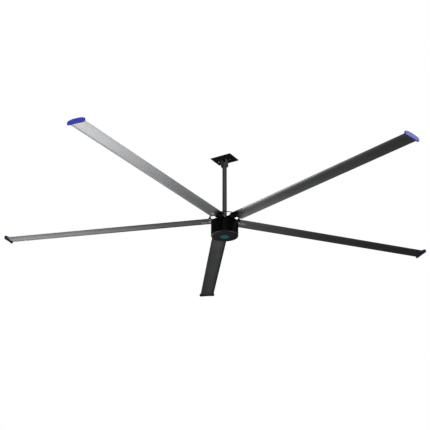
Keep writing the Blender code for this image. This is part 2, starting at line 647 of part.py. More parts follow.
def make_drum():
    """The rotor's shell: end bell, wall with its magnets, and bottom cover with the badge."""
    bearing_seat = BEARING_OUTER_RADIUS + SEAT_GAP
    housing_radius = bearing_seat + BEARING_HOUSING_WALL
    bearing_top = -UPPER_BEARING_DROP + SEAT_GAP
    bearing_bottom = -UPPER_BEARING_DROP - BEARING_WIDTH
    rim_top = -DRUM_TOP_DROP
    rim_bottom = rim_top - END_BELL_THICKNESS
    bell_profile = [
        (PLATFORM_RADIUS, PLATFORM_TOP),
        (PLATFORM_RADIUS + (PLATFORM_TOP - rim_top), rim_top),
        (DRUM_RADIUS - SEAT_GAP, rim_top),
        (DRUM_RADIUS, rim_top - SEAT_GAP),
        (DRUM_RADIUS, rim_bottom),
        (PLATFORM_RADIUS, rim_bottom),
        (PLATFORM_RADIUS - END_BELL_THICKNESS, PLATFORM_TOP - END_BELL_THICKNESS),
        (housing_radius, PLATFORM_TOP - END_BELL_THICKNESS),
        (housing_radius, bearing_bottom),
        (bearing_seat, bearing_bottom),
        (bearing_seat, bearing_top),
        (SHAFT_RADIUS + PLATFORM_BORE_GAP, bearing_top),
        (SHAFT_RADIUS + PLATFORM_BORE_GAP, PLATFORM_TOP),
    ]
    bell = add_object("top_end_bell", turned_mesh("top_end_bell", bell_profile), CAST_BLACK, ROTOR_AXIS)
    depth = THREAD_DEPTH + OVERRUN
    hole_mesh = cylinder_mesh("strut_thread", M12_SHANK_RADIUS + SEAT_GAP, OVERRUN, -depth)
    for angle in blade_angles():
        spot = (STRUT_BOLT_RADIUS * cos(angle), STRUT_BOLT_RADIUS * sin(angle), PLATFORM_TOP)
        cut(bell, add_object("strut_thread_cutter", hole_mesh, None, ROTOR_AXIS, spot))

    wall_top = rim_bottom - SEAT_GAP
    wall_bottom = -DRUM_BOTTOM_DROP + DRUM_EDGE_ROUND + SEAT_GAP
    wall_profile = [(DRUM_RADIUS, wall_top), (DRUM_RADIUS, wall_bottom)]
    wall_profile += [(DRUM_INNER_RADIUS, wall_bottom), (DRUM_INNER_RADIUS, wall_top)]
    add_object("rotor_housing", turned_mesh("rotor_housing", wall_profile), CAST_BLACK, ROTOR_AXIS)

    magnet_outer = DRUM_INNER_RADIUS - SEAT_GAP
    magnet_inner = STATOR_RADIUS + AIR_GAP
    magnet_top = -STATOR_TOP_DROP + MAGNET_OVERHANG
    magnet_bottom = -STATOR_TOP_DROP - STATOR_HEIGHT - MAGNET_OVERHANG
    magnet_profile = [(magnet_outer, magnet_top), (magnet_outer, magnet_bottom)]
    magnet_profile += [(magnet_inner, magnet_bottom), (magnet_inner, magnet_top)]
    add_object("magnet_ring", turned_mesh("magnet_ring", magnet_profile), MAGNET, ROTOR_AXIS)

    bottom = -DRUM_BOTTOM_DROP
    plate_top = bottom + COVER_THICKNESS
    cover_top = bottom + DRUM_EDGE_ROUND
    centre_x = DRUM_RADIUS - DRUM_EDGE_ROUND
    edge = []
    for step in range(COVER_ROUND_STEPS + 1):
        angle = pi / 2 * step / COVER_ROUND_STEPS
        edge.append((centre_x + DRUM_EDGE_ROUND * cos(angle), cover_top - DRUM_EDGE_ROUND * sin(angle)))
    rim_inner = DRUM_RADIUS - COVER_RIM_WALL
    race_bottom = -LOWER_BEARING_DROP - BEARING_WIDTH - SEAT_GAP
    cover_profile = edge + [
        (0.0, bottom),
        (0.0, plate_top),
        (bearing_seat - BEARING_LIP, plate_top),
        (bearing_seat - BEARING_LIP, race_bottom),
        (bearing_seat, race_bottom),
        (bearing_seat, -LOWER_BEARING_DROP),
        (housing_radius, -LOWER_BEARING_DROP),
        (housing_radius, plate_top),
        (rim_inner - COVER_RIM_WALL, plate_top),
        (rim_inner, cover_top),
    ]
    cover_mesh = turned_disc_mesh("bottom_cover", cover_profile)
    add_object("bottom_cover", cover_mesh, CAST_BLACK, ROTOR_AXIS)

    badge_top = bottom - SEAT_GAP
    badge_profile = [
        (0.0, badge_top),
        (BADGE_RADIUS, badge_top),
        (BADGE_RADIUS, badge_top - BADGE_THICKNESS / 2),
        (BADGE_RADIUS - BADGE_THICKNESS / 2, badge_top - BADGE_THICKNESS),
        (0.0, badge_top - BADGE_THICKNESS),
    ]
    badge_mesh = turned_mesh("badge_disc", badge_profile, closed=False)
    add_object("badge_disc", badge_mesh, TEAL_PLASTIC, ROTOR_AXIS)


def turned_disc_mesh(name, profile):
    """Turns a profile that meets the axis at two points, given next to each other in the list."""
    first = next(i for i, (radius, height) in enumerate(profile) if radius == 0.0)
    ordered = profile[first + 1:] + profile[:first + 1]
    return turned_mesh(name, ordered, closed=False)


def blade_angles():
    return [FIRST_BLADE_ANGLE + 2 * pi * index / BLADE_COUNT for index in range(BLADE_COUNT)]


def half_thickness(share):
    """Half the blade's thickness at a share of the chord, from the leading edge."""
    curve = 0.2969 * sqrt(share) - 0.1260 * share - 0.3516 * share**2
    curve += 0.2843 * share**3 - 0.1036 * share**4
    return BLADE_THICKNESS * curve / 0.2 + BLADE_TRAILING_EDGE / 2 * share


def camber_height(share):
    """Height of the blade's mean line above its chord."""
    crest = CAMBER_CREST_SHARE
    if share < crest:
        return BLADE_CAMBER * (2 * crest * share - share**2) / crest**2
    return BLADE_CAMBER * (1 - 2 * crest + 2 * crest * share - share**2) / (1 - crest) ** 2


def chord_x(share):
    """Distance towards the leading edge from the strut's centre line."""
    return BLADE_CHORD * (0.5 - share) - BLADE_TRAIL


def share_at(x):
    return 0.5 - (x + BLADE_TRAIL) / BLADE_CHORD


def section_loop():
    """The blade's outer outline: the lower side from nose to tail, then the upper side back."""
    shares = [(1 - cos(pi * i / SECTION_POINTS)) / 2 for i in range(SECTION_POINTS + 1)]
    lower = [(chord_x(s), camber_height(s) - half_thickness(s)) for s in shares]
    upper = [(chord_x(s), camber_height(s) + half_thickness(s)) for s in shares]
    return lower + list(reversed(upper[1:]))


def cell_loop(front_share, rear_share):
    """One hollow cell of the blade, a wall's thickness inside the outline."""
    step = (rear_share - front_share) / (CELL_POINTS - 1)
    shares = [front_share + step * index for index in range(CELL_POINTS)]
    lower = [(chord_x(s), camber_height(s) - half_thickness(s) + BLADE_WALL) for s in shares]
    upper = [(chord_x(s), camber_height(s) + half_thickness(s) - BLADE_WALL) for s in shares]
    return lower + list(reversed(upper))


def blade_bolt_cutter(top):
    """A rod across the blade at the bolt's station, up to a height above the chord."""
    mesh = cylinder_mesh("blade_bolt_hole", M12_SHANK_RADIUS + SEAT_GAP, top, -BLADE_THICKNESS)
    spot = (BLADE_BOLT_RADIUS, 0.0, 0.0)
    return add_object("blade_bolt_cutter", mesh, None, None, spot, (-BLADE_PITCH, 0.0, 0.0))


def baked_mesh(item, tools):
    """Applies the item's Booleans and removes it with the tools that they used."""
    mesh = evaluated_mesh(item)
    for tool in tools:
        bpy.data.objects.remove(tool, do_unlink=True)
    return mesh


def make_blade_mesh():
    """Skin with three hollow cells. The middle one fits the strut's tongue."""
    cell_half = STRUT_WIDTH / 2 + SEAT_GAP
    cell_height = STRUT_THICKNESS + 2 * SEAT_GAP
    middle_cell = rounded_rectangle(2 * cell_half, cell_height, CELL_CORNER, (0.0, STRUT_CENTRE_HEIGHT))
    front_cell = cell_loop(FRONT_CELL_SHARE, share_at(cell_half + BLADE_WEB))
    rear_cell = cell_loop(share_at(-cell_half - BLADE_WEB), REAR_CELL_SHARE)
    length = BLADE_TIP_RADIUS - BLADE_ROOT_RADIUS
    plain = outline_mesh("blade", [section_loop(), middle_cell, front_cell, rear_cell], length)
    blade = add_object("blade_shape", plain, None, None, BLADE_PLACE, BLADE_TURN)
    cutter = blade_bolt_cutter(STRUT_CENTRE_HEIGHT)
    cut(blade, cutter)
    return baked_mesh(blade, [cutter])


def make_cap_mesh():
    """An outline round the blade's end that follows its camber, with blunt round ends."""
    upper = []
    lower = []
    for index in range(CAP_POINTS + 1):
        share = (1 - cos(pi * index / CAP_POINTS)) / 2
        x = CAP_LENGTH * (0.5 - share) - BLADE_TRAIL
        middle = camber_height(share)
        height = CAP_FRONT_HEIGHT + (CAP_REAR_HEIGHT - CAP_FRONT_HEIGHT) * share
        fullness = max(0.0, 1 - abs(2 * share - 1) ** CAP_SQUARENESS)
        half = height / 2 * fullness ** (1 / CAP_SQUARENESS)
        upper.append((x, middle + half))
        lower.append((x, middle - half))
    return outline_mesh("tip_cap", [lower[:-1] + list(reversed(upper))[:-1]], CAP_THICKNESS)


def make_strut_mesh():
    """A level bar over the drum and a pitched tongue inside the blade, forged as one."""
    bar_length = STRUT_LEVEL_END - STRUT_INNER_RADIUS
    bar_mesh = box_mesh("strut_bar", (bar_length, STRUT_WIDTH, STRUT_THICKNESS))
    bar = add_object("strut_bar", bar_mesh, None, None, STRUT_PLACE)
    start = STRUT_LEVEL_END - STRUT_BLEND
    tongue_length = STRUT_OUTER_RADIUS - start
    tongue_mesh = box_mesh("strut_tongue", (STRUT_WIDTH, STRUT_THICKNESS, tongue_length))
    lean = STRUT_CENTRE_HEIGHT * sin(BLADE_PITCH)
    rise = STRUT_CENTRE_HEIGHT * cos(BLADE_PITCH)
    middle = (start + tongue_length / 2, lean, rise)
    tongue = add_object("strut_tongue", tongue_mesh, None, None, middle, BLADE_TURN)
    combine(bar, tongue, "UNION")
    hole_radius = M12_SHANK_RADIUS + SEAT_GAP
    hub_hole = cylinder_mesh("hub_hole", hole_radius, STRUT_TOP + OVERRUN, PLATFORM_TOP - OVERRUN)
    hub_cutter = add_object("hub_hole_cutter", hub_hole, None, None, (STRUT_BOLT_RADIUS, 0.0, 0.0))
    cut(bar, hub_cutter)
    bolt_cutter = blade_bolt_cutter(STRUT_TOP + OVERRUN)
    cut(bar, bolt_cutter)
    return baked_mesh(bar, [tongue, hub_cutter, bolt_cutter])


def lowest_skin():
    """Height of the blade's underside where the bolt's head meets it first."""
    reach = M12_FLATS / sqrt(3) / BLADE_CHORD
    shares = [share_at(0.0) + reach * step for step in (-1.0, -0.5, 0.0, 0.5, 1.0)]
    return min(camber_height(share) - half_thickness(share) for share in shares)


def make_post_mesh():
    """A turned post: foot on the strut, collar under the ring, head above it."""
    collar_top = RING_HEIGHT - RING_THICKNESS / 2 - SEAT_GAP
    collar_bottom = collar_top - POST_HEAD_HEIGHT
    head_bottom = RING_HEIGHT + RING_THICKNESS / 2 + SEAT_GAP
    head_top = head_bottom + POST_HEAD_HEIGHT
    foot = STRUT_TOP + SEAT_GAP
    profile = [
        (0.0, head_top),
        (POST_HEAD_RADIUS, head_top),
        (POST_HEAD_RADIUS, head_bottom),
        (POST_RADIUS, head_bottom),
        (POST_RADIUS, collar_top),
        (POST_HEAD_RADIUS, collar_top),
        (POST_HEAD_RADIUS, collar_bottom),
        (POST_RADIUS, collar_bottom),
        (POST_RADIUS, foot),
        (0.0, foot),
    ]
    return turned_mesh("ring_post", profile, POST_STEPS, closed=False)


def make_arms():
    """Five stations, each with a strut, blade, tip cap, ring post and bolts."""
    strut_mesh = make_strut_mesh()
    blade_mesh = make_blade_mesh()
    cap_mesh = make_cap_mesh()
    smooth(blade_mesh, radians(30.0))
    smooth(cap_mesh, radians(40.0))
    post_mesh = make_post_mesh()
    hub_length = STRUT_THICKNESS + 2 * SEAT_GAP + THREAD_DEPTH
    hub_bolt_mesh = hex_bolt_mesh("strut_bolt", M12_SHANK_RADIUS, M12_FLATS, M12_HEAD_HEIGHT, hub_length)
    head_face = lowest_skin() - SEAT_GAP
    grip = STRUT_TOP - SEAT_GAP - head_face
    skin_bolt_mesh = hex_bolt_mesh("blade_bolt", M12_SHANK_RADIUS, M12_FLATS, M12_HEAD_HEIGHT, grip)
    skin_bolt_place = (BLADE_BOLT_RADIUS, head_face * sin(BLADE_PITCH), head_face * cos(BLADE_PITCH))
    cap_place = (FAN_RADIUS - CAP_THICKNESS / 2, 0.0, 0.0)
    hub_bolt_place = (STRUT_BOLT_RADIUS, 0.0, STRUT_TOP + SEAT_GAP)
    post_place = (POST_STATION, 0.0, 0.0)
    for index, angle in enumerate(blade_angles()):
        tag = "_%d" % (index + 1)
        station = new_axis("blade_station" + tag, ROTOR_AXIS, ORIGIN, (0.0, 0.0, angle))
        add_object("strut" + tag, strut_mesh, CAST_BLACK, station, STRUT_PLACE)
        add_object("blade" + tag, blade_mesh, DARK_ALUMINIUM, station, BLADE_PLACE, BLADE_TURN)
        add_object("tip_cap" + tag, cap_mesh, BLUE_PLASTIC, station, cap_place, BLADE_TURN)
        add_object("ring_post" + tag, post_mesh, BLACK_STEEL, station, post_place)
        add_object("strut_bolt" + tag, hub_bolt_mesh, ZINC_STEEL, station, hub_bolt_place)
        head_down = (pi - BLADE_PITCH, 0.0, 0.0)
        add_object("blade_bolt" + tag, skin_bolt_mesh, ZINC_STEEL, station, skin_bolt_place, head_down)


def make_safety_ring():
    """A flat ring on the five posts. It keeps a blade from dropping if its bolts fail."""
    top = RING_THICKNESS / 2
    inner = RING_OUTER_RADIUS - RING_WIDTH
    profile = [(RING_OUTER_RADIUS, top), (RING_OUTER_RADIUS, -top), (inner, -top), (inner, top)]
    ring_mesh = turned_mesh("safety_ring", profile)
    ring = add_object("safety_ring", ring_mesh, BLACK_STEEL, ROTOR_AXIS, (0.0, 0.0, RING_HEIGHT))
    hole_radius = POST_RADIUS + SEAT_GAP
    hole_mesh = cylinder_mesh("ring_hole", hole_radius, RING_THICKNESS, -RING_THICKNESS, POST_STEPS)
    for angle in blade_angles():
        spot = (POST_STATION * cos(angle), POST_STATION * sin(angle), RING_HEIGHT)
        cut(ring, add_object("ring_hole_cutter", hole_mesh, None, ROTOR_AXIS, spot, (0.0, 0.0, angle)))


make_ceiling_plate()
make_clevis_bracket()
make_hinge_bolt()
make_down_tube()
make_lead_grommet()
make_motor_shaft()
make_bearing("upper_bearing", UPPER_BEARING_DROP, "upper_cage_axis")
make_bearing("lower_bearing", LOWER_BEARING_DROP, "lower_cage_axis")
make_stator()
make_drum()
make_arms()
make_safety_ring()
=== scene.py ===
from math import acos, asin, atan2, cos, pi, radians, sin, sqrt, tan

import bmesh
import bpy
from mathutils import Matrix, Vector


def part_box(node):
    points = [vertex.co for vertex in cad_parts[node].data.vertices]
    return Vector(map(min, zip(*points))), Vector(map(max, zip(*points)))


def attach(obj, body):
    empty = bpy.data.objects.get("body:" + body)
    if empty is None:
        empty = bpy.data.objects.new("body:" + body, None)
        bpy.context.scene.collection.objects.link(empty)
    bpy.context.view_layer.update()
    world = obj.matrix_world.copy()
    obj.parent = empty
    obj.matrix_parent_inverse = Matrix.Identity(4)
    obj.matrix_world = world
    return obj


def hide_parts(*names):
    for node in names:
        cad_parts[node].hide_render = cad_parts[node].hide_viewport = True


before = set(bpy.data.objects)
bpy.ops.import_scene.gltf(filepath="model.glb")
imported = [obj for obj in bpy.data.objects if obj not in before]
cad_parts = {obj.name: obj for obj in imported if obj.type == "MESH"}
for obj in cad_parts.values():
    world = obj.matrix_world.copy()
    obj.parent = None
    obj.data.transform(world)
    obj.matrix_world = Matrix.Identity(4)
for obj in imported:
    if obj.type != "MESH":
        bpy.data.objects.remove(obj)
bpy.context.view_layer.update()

# Photographer's place
# The camera stands on the hall's floor and looks up at the hub from a few metres in
# front. It was solved in a frame turned by VIEW_TURN about the fan's own axis.
PHOTO_WIDTH = 430
FOCAL_LENGTH_PIXELS = 913.5
SENSOR_WIDTH = 36.0
HUB_HEIGHT = -0.896
VIEW_TURN = radians(30.93)
CAMERA_FROM_HUB = Vector((0.0, -10.950, -4.710))
LOOK_YAW, LOOK_PITCH, LOOK_ROLL = radians(-0.602), radians(0.344), radians(-0.031)


def place_camera():
    ahead = (-CAMERA_FROM_HUB).normalized()
    right = Vector((1.0, 0.0, 0.0))
    above = right.cross(ahead)
    yawed = ahead * cos(LOOK_YAW) + right * sin(LOOK_YAW)
    right = right * cos(LOOK_YAW) - ahead * sin(LOOK_YAW)
    forward = yawed * cos(LOOK_PITCH) + above * sin(LOOK_PITCH)
    above = above * cos(LOOK_PITCH) - yawed * sin(LOOK_PITCH)
    side = right * cos(LOOK_ROLL) + above * sin(LOOK_ROLL)
    above = above * cos(LOOK_ROLL) - right * sin(LOOK_ROLL)
    place = Matrix((side, above, -forward)).transposed().to_4x4()
    place.translation = CAMERA_FROM_HUB
    lens = bpy.data.cameras.new("photo_camera")
    lens.sensor_width = SENSOR_WIDTH
    lens.lens = FOCAL_LENGTH_PIXELS / PHOTO_WIDTH * SENSOR_WIDTH
    lens.clip_end = 200.0
    camera = bpy.data.objects.new("photo_camera", lens)
    bpy.context.scene.collection.objects.link(camera)
    hub = Matrix.Translation((0.0, 0.0, HUB_HEIGHT))
    camera.matrix_world = hub @ Matrix.Rotation(VIEW_TURN, 4, "Z") @ place
    bpy.context.scene.camera = camera


place_camera()
bpy.context.scene.view_settings.view_transform = "Standard"

# Hall and lights
# A pale floor far below, a white surround and a soft roof lamp light the fan. Seven more
# panels show only as reflections. The large left one is what the blades' undersides
# mirror: it fades along each blade as it turns away.
AMBIENT_STRENGTH = 0.62
FLOOR_HEIGHT = -9.0
FLOOR_RADIUS = 9.0
FLOOR_COLOUR = (0.86, 0.86, 0.85)


class Wire:
    """One output of a node tree. Sums written on it add Math nodes."""

    def __init__(self, tree, socket):
        self.tree = tree
        self.socket = socket

    def sum_node(self, operation, first, second):
        return add_node(self.tree, "ShaderNodeMath", {"operation": operation}, {0: first, 1: second})

    def __add__(self, other):
        return self.sum_node("ADD", self, other)

    def __sub__(self, other):
        return self.sum_node("SUBTRACT", self, other)

    def __rsub__(self, other):
        return self.sum_node("SUBTRACT", other, self)

    def __mul__(self, other):
        return self.sum_node("MULTIPLY", self, other)

    def __truediv__(self, other):
        return self.sum_node("DIVIDE", self, other)

    def __pow__(self, other):
        return self.sum_node("POWER", self, other)

    def larger(self, other):
        return self.sum_node("MAXIMUM", self, other)

    def __lt__(self, other):
        return self.sum_node("LESS_THAN", self, other)

    def __gt__(self, other):
        return self.sum_node("GREATER_THAN", self, other)

    def __abs__(self):
        return add_node(self.tree, "ShaderNodeMath", {"operation": "ABSOLUTE"}, {0: self})

    __radd__ = __add__
    __rmul__ = __mul__


def fill(node, values):
    """Links or sets the inputs of a node."""
    for name, value in values.items():
        if isinstance(value, Wire):
            value.tree.links.new(value.socket, node.inputs[name])
        else:
            node.inputs[name].default_value = value


def add_node(tree, kind, settings=None, values=None, output=0):
    """Adds a node, sets it up, fills its inputs, and returns one output."""
    node = tree.nodes.new(kind)
    for name, value in (settings or {}).items():
        if name == "stops":
            while len(node.color_ramp.elements) < len(value):
                node.color_ramp.elements.new(1.0)
            for stop, (place, colour) in zip(node.color_ramp.elements, value):
                stop.position = place
                stop.color = colour
        else:
            setattr(node, name, value)
    fill(node, values or {})
    return Wire(tree, node.outputs[output])


def light_the_hall():
    world = bpy.data.worlds.new("hall")
    bpy.context.scene.world = world
    world.use_nodes = True
    tree = world.node_tree
    paths = [add_node(tree, "ShaderNodeLightPath", output=name)
             for name in ("Is Camera Ray", "Is Glossy Ray", "Is Transmission Ray")]
    seen = paths[0].larger(paths[1]).larger(paths[2])
    strength = seen * (1.0 - AMBIENT_STRENGTH) + AMBIENT_STRENGTH
    surround = add_node(tree, "ShaderNodeBackground", None,
                        {"Color": (1.0, 1.0, 1.0, 1.0), "Strength": strength})
    fill(tree.nodes["World Output"], {"Surface": surround})


def lay_floor():
    mesh = bpy.data.meshes.new("hall_floor")
    work = bmesh.new()
    bmesh.ops.create_circle(work, cap_ends=True, segments=64, radius=FLOOR_RADIUS)
    bmesh.ops.translate(work, verts=work.verts, vec=(0.0, 0.0, FLOOR_HEIGHT))
    work.to_mesh(mesh)
    work.free()
    material = bpy.data.materials.new("pale_floor")
    material.use_nodes = True
    fill(material.node_tree.nodes["Principled BSDF"],
         {"Base Color": (*FLOOR_COLOUR, 1.0), "Roughness": 0.9})
    mesh.materials.append(material)
    floor = bpy.data.objects.new("hall_floor", mesh)
    bpy.context.scene.collection.objects.link(floor)


def hang_panel(name, azimuth, elevation, distance, width, height, radiance, mirrored_only=True):
    """Hangs a flat lamp that faces the hub. Angles in degrees, from +X and the horizon."""
    lamp = bpy.data.lights.new(name, "AREA")
    lamp.shape = "RECTANGLE"
    lamp.size = width
    lamp.size_y = height
    lamp.energy = radiance * pi * width * height
    panel = bpy.data.objects.new(name, lamp)
    turn, rise = radians(azimuth), radians(elevation)
    away = Vector((cos(turn) * cos(rise), sin(turn) * cos(rise), sin(rise)))
    panel.location = away * distance + Vector((0.0, 0.0, HUB_HEIGHT))
    panel.rotation_mode = "QUATERNION"
    panel.rotation_quaternion = away.to_track_quat("Z", "Y")
    panel.visible_camera = False
    panel.visible_diffuse = not mirrored_only
    bpy.context.scene.collection.objects.link(panel)


light_the_hall()
lay_floor()
hang_panel("roof_panel", -70, 60, 14.0, 7.0, 7.0, 1.6, mirrored_only=False)
hang_panel("front_panel", -61, 23, 12.5, 2.5, 5.0, 9.0)
hang_panel("near_left_panel", -122, -22, 14.0, 11.0, 8.0, 4.6)
hang_panel("near_right_panel", 4, -22, 14.0, 11.0, 8.0, 4.6)
hang_panel("left_panel", 141.37, -31.0, 32.11, 10.34, 10.94, 63.0)
hang_panel("low_panel", 129.5, -50.0, 9.5, 1.8, 1.8, 40.0)
hang_panel("upper_panel", 137.0, -4.0, 30.0, 6.0, 9.0, 15.0)
hang_panel("cap_panel", 25.0, 24.0, 14.0, 4.0, 4.0, 3.4)

# Ceiling plate
# Flat steel plate that four anchor bolts hold to a beam. Laser cut, drilled, its
# edges broken, then powder coated black. Its cut edges carry a painted highlight in grey.
PLATE_EDGE_BREAK = 0.0008
PLATE_CORNER = 0.006
PLATE_HOLE_RADIUS = 0.007
PLATE_HOLE_INSET = 0.028
CLEVIS_BOLT_SPREAD = 0.085
M12_HOLE = 0.0063
POWDER_BLACK = (0.0170, 0.0170, 0.0175)
# Painted highlight: the grey that the cut edges get where they catch light.
CUT_EDGE_HIGHLIGHT_GREY = (0.075, 0.075, 0.077)
SMOOTH_ANGLE = radians(32.0)
SHARP_EDGE = 1.2
HOLE_SIDES = 32


def object_place(material):
    return add_node(material.node_tree, "ShaderNodeTexCoord", output="Object")


def new_finish(name):
    """Starts a material and returns it with its Object coordinates."""
    material = bpy.data.materials.new(name)
    material.use_nodes = True
    return material, object_place(material)


def noise(place, scale, detail=2.0, distortion=0.0):
    values = {"Vector": place, "Scale": scale, "Detail": detail, "Distortion": distortion}
    return add_node(place.tree, "ShaderNodeTexNoise", None, values)


def relief(height, strength, distance):
    """Bumps as high as a distance in metres, for a shader's normal."""
    values = {"Height": height, "Strength": strength, "Distance": distance}
    return add_node(height.tree, "ShaderNodeBump", None, values, "Normal")


def split(vector):
    """The three numbers of a vector."""
    node = add_node(vector.tree, "ShaderNodeSeparateXYZ", None, {"Vector": vector}).socket.node
    return [Wire(vector.tree, socket) for socket in node.outputs]


def shades(colour, fleck, driver, low=0.3, high=0.7):
    """A colour that runs from a little darker to a little lighter with a pattern."""
    dark = tuple(part * (1.0 - fleck) for part in colour)
    light = tuple(part * (1.0 + fleck) for part in colour)
    stops = [(low, (*dark, 1.0)), (high, (*light, 1.0))]
    return add_node(driver.tree, "ShaderNodeValToRGB", {"stops": stops}, {"Fac": driver})


def dress(material, colour, roughness, others):
    """Fills the inputs of a material's shader and returns the material."""
    shader = material.node_tree.nodes["Principled BSDF"]
    fill(shader, {"Base Color": colour, "Roughness": roughness, **others})
    return material


def coated(name, colour, roughness, specular, grain=0.0004):
    """Powder coat: fine orange peel in the gloss and a slightly uneven shade."""
    material, place = new_finish(name)
    cloud = noise(place, 9.0, 4.0)
    peel = noise(place, 1 / (grain * 3))
    return dress(material, shades(colour, 0.25, cloud), cloud * 0.12 + (roughness - 0.06),
                 {"Normal": relief(peel, 0.35, grain), "Specular IOR Level": specular})


def recoat(material, colour, fleck, scale, where, others=None):
    """Gives a material a second colour where a mask of 0 and 1 is 1, and other inputs."""
    tree = material.node_tree
    shader = tree.nodes["Principled BSDF"]
    first = Wire(tree, shader.inputs["Base Color"].links[0].from_socket)
    second = shades(colour, fleck, noise(object_place(material), scale))
    mixed = add_node(tree, "ShaderNodeMix", {"data_type": "RGBA"}, {0: where, 6: first, 7: second}, 2)
    fill(shader, {"Base Color": mixed, **(others or {})})
    return material


def plate_coat(low, high):
    """The black coat, with a painted highlight in grey on the cut edges between the two faces, where they
    catch light.
    """
    material = coated("black_powder_coat", POWDER_BLACK, 0.42, 0.0)
    # Painted highlight: the plate's sides and hole walls are coloured grey as lit edges.
    away = abs(split(object_place(material))[2] - (low + high) / 2)
    return recoat(material, CUT_EDGE_HIGHLIGHT_GREY, 0.3, 900.0, away < (high - low - PLATE_EDGE_BREAK) / 2)


def finish_piece(work, name, material, body, stands_for=()):
    """Closes a bmesh into a named piece that rides on a body and may stand for CAD nodes."""
    bmesh.ops.remove_doubles(work, verts=work.verts, dist=0.000002)
    bmesh.ops.recalc_face_normals(work, faces=work.faces)
    mesh = bpy.data.meshes.new(name)
    work.to_mesh(mesh)
    work.free()
    mesh.materials.append(material)
    mesh.shade_smooth()
    mesh.set_sharp_from_angle(angle=SMOOTH_ANGLE)
    piece = bpy.data.objects.new(name, mesh)
    bpy.context.scene.collection.objects.link(piece)
    even = piece.modifiers.new("even_shading", "WEIGHTED_NORMAL")
    even.keep_sharp = True
    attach(piece, body)
    if stands_for:
        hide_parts(*stands_for)


def finish_node(work, node, material, body):
    """Finishes the piece that stands for one CAD node."""
    finish_piece(work, "finished_" + node, material, body, [node])


def absorb(work, part, place):
    """Moves a finished sub-shape into its place inside a piece."""
    bmesh.ops.transform(part, matrix=place, verts=part.verts)
    bmesh.ops.recalc_face_normals(part, faces=part.faces)
    holder = bpy.data.meshes.new("holder")
    part.to_mesh(holder)
    part.free()
    work.from_mesh(holder)
    bpy.data.meshes.remove(holder)


def join(part, place=Matrix(), *more):
    """Starts a piece from sub-shapes, each followed by its place."""
    work = bmesh.new()
    absorb(work, part, place)
    for index in range(0, len(more), 2):
        absorb(work, more[index], more[index + 1])
    return work


def circle_edges(work, radius, centre=(0.0, 0.0), segments=HOLE_SIDES):
    """Draws an open ring of edges at height zero, for an outline or a hole."""
    spot = Matrix.Translation((*centre, 0.0))
    ring = bmesh.ops.create_circle(work, cap_ends=False, segments=segments, radius=radius, matrix=spot)
    return list({edge for vert in ring["verts"] for edge in vert.link_edges})


def loop_edges(work, points):
    """Draws a closed outline through flat points, at height zero."""
    verts = [work.verts.new((x, y, 0.0)) for x, y in points]
    return [work.edges.new((verts[i - 1], verts[i])) for i in range(len(verts))]


def rounded_box_edges(work, length, width, corner, centre=(0.0, 0.0), steps=6):
    """Draws the outline of a rectangle with round corners."""
    points = []
    for quarter, (side_x, side_y) in enumerate(((1, 1), (-1, 1), (-1, -1), (1, -1))):
        x = centre[0] + side_x * (length / 2 - corner)
        y = centre[1] + side_y * (width / 2 - corner)
        for step in range(steps + 1):
            angle = (quarter + step / steps) * pi / 2
            points.append((x + corner * cos(angle), y + corner * sin(angle)))
    return loop_edges(work, points)


def break_edges(work, edges, offset, segments=2):
    """Bevels those of some edges that are sharp."""
    rims = [edge for edge in edges
            if len(edge.link_faces) == 2 and edge.calc_face_angle() > SHARP_EDGE]
    bmesh.ops.bevel(work, geom=rims, offset=offset, segments=segments, affect="EDGES",
                    profile=0.5, material=-1)


def thicken(work, edges, top, thickness, edge_break=PLATE_EDGE_BREAK):
    """Fills flat outlines, the first outside and the rest holes, to a plate with broken edges."""
    bmesh.ops.triangle_fill(work, edges=edges, use_beauty=True, use_dissolve=False)
    bmesh.ops.translate(work, verts=work.verts, vec=(0.0, 0.0, top))
    lifted = bmesh.ops.extrude_face_region(work, geom=list(work.faces))
    moved = [item for item in lifted["geom"] if isinstance(item, bmesh.types.BMVert)]
    bmesh.ops.translate(work, verts=moved, vec=(0.0, 0.0, -thickness))
    bmesh.ops.recalc_face_normals(work, faces=work.faces)
    if edge_break:
        break_edges(work, work.edges, edge_break)


def make_ceiling_plate():
    low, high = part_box("ceiling_plate")
    work = bmesh.new()
    edges = rounded_box_edges(work, high.x - low.x, high.y - low.y, PLATE_CORNER)
    for side_x in (-1, 1):
        for side_y in (-1, 1):
            centre = (side_x * (high.x - PLATE_HOLE_INSET), side_y * (high.y - PLATE_HOLE_INSET))
            edges += circle_edges(work, PLATE_HOLE_RADIUS, centre)
        edges += circle_edges(work, M12_HOLE, (side_x * CLEVIS_BOLT_SPREAD, 0.0))
    thicken(work, edges, high.z, high.z - low.z)
    finish_node(work, "ceiling_plate", plate_coat(low.z, high.z), "ceiling_mount")


make_ceiling_plate()

# Clevis bracket
# A steel base bolted below the plate, with two round-ended ears for the hinge bolt,
# joined to it by rippled weld beads. The ears are painted grey; the base is coloured
# black as painted shade, where it lies under the plate.
BRACKET_BASE = 0.006
EAR_WIDTH = 0.070
EAR_INNER = 0.03265
EAR_OUTER = 0.03865
EAR_HOLE = 0.0083
EAR_STEPS = 36
EAR_SINK = 0.0005
HINGE_HEIGHT = -0.095
BEAD_RADIUS = 0.0026
BEAD_RIPPLE = 0.0016
BEAD_DIP = 0.13
BEAD_INSET = 0.001
BRACKET_GREY = (0.105, 0.105, 0.108)
BRACKET_GLOSS = 0.2
UPRIGHT = (0.0, 0.0, 1.0)


def bracket_coat(base_face):
    """Grey paint on the ears, and painted shade on the base under the plate, as black as the plate above
    it.
    """
    material = coated("grey_bracket_paint", BRACKET_GREY, 0.35, 0.0)
    # Painted shade: the base, in shade under the plate, gets the plate's black instead of the grey.
    shaded_base = split(object_place(material))[2] > base_face - PLATE_EDGE_BREAK
    return recoat(material, POWDER_BLACK, 0.25, 9.0, shaded_base,
                  {"Coat Weight": (1.0 - shaded_base) * BRACKET_GLOSS, "Coat Roughness": 0.35})


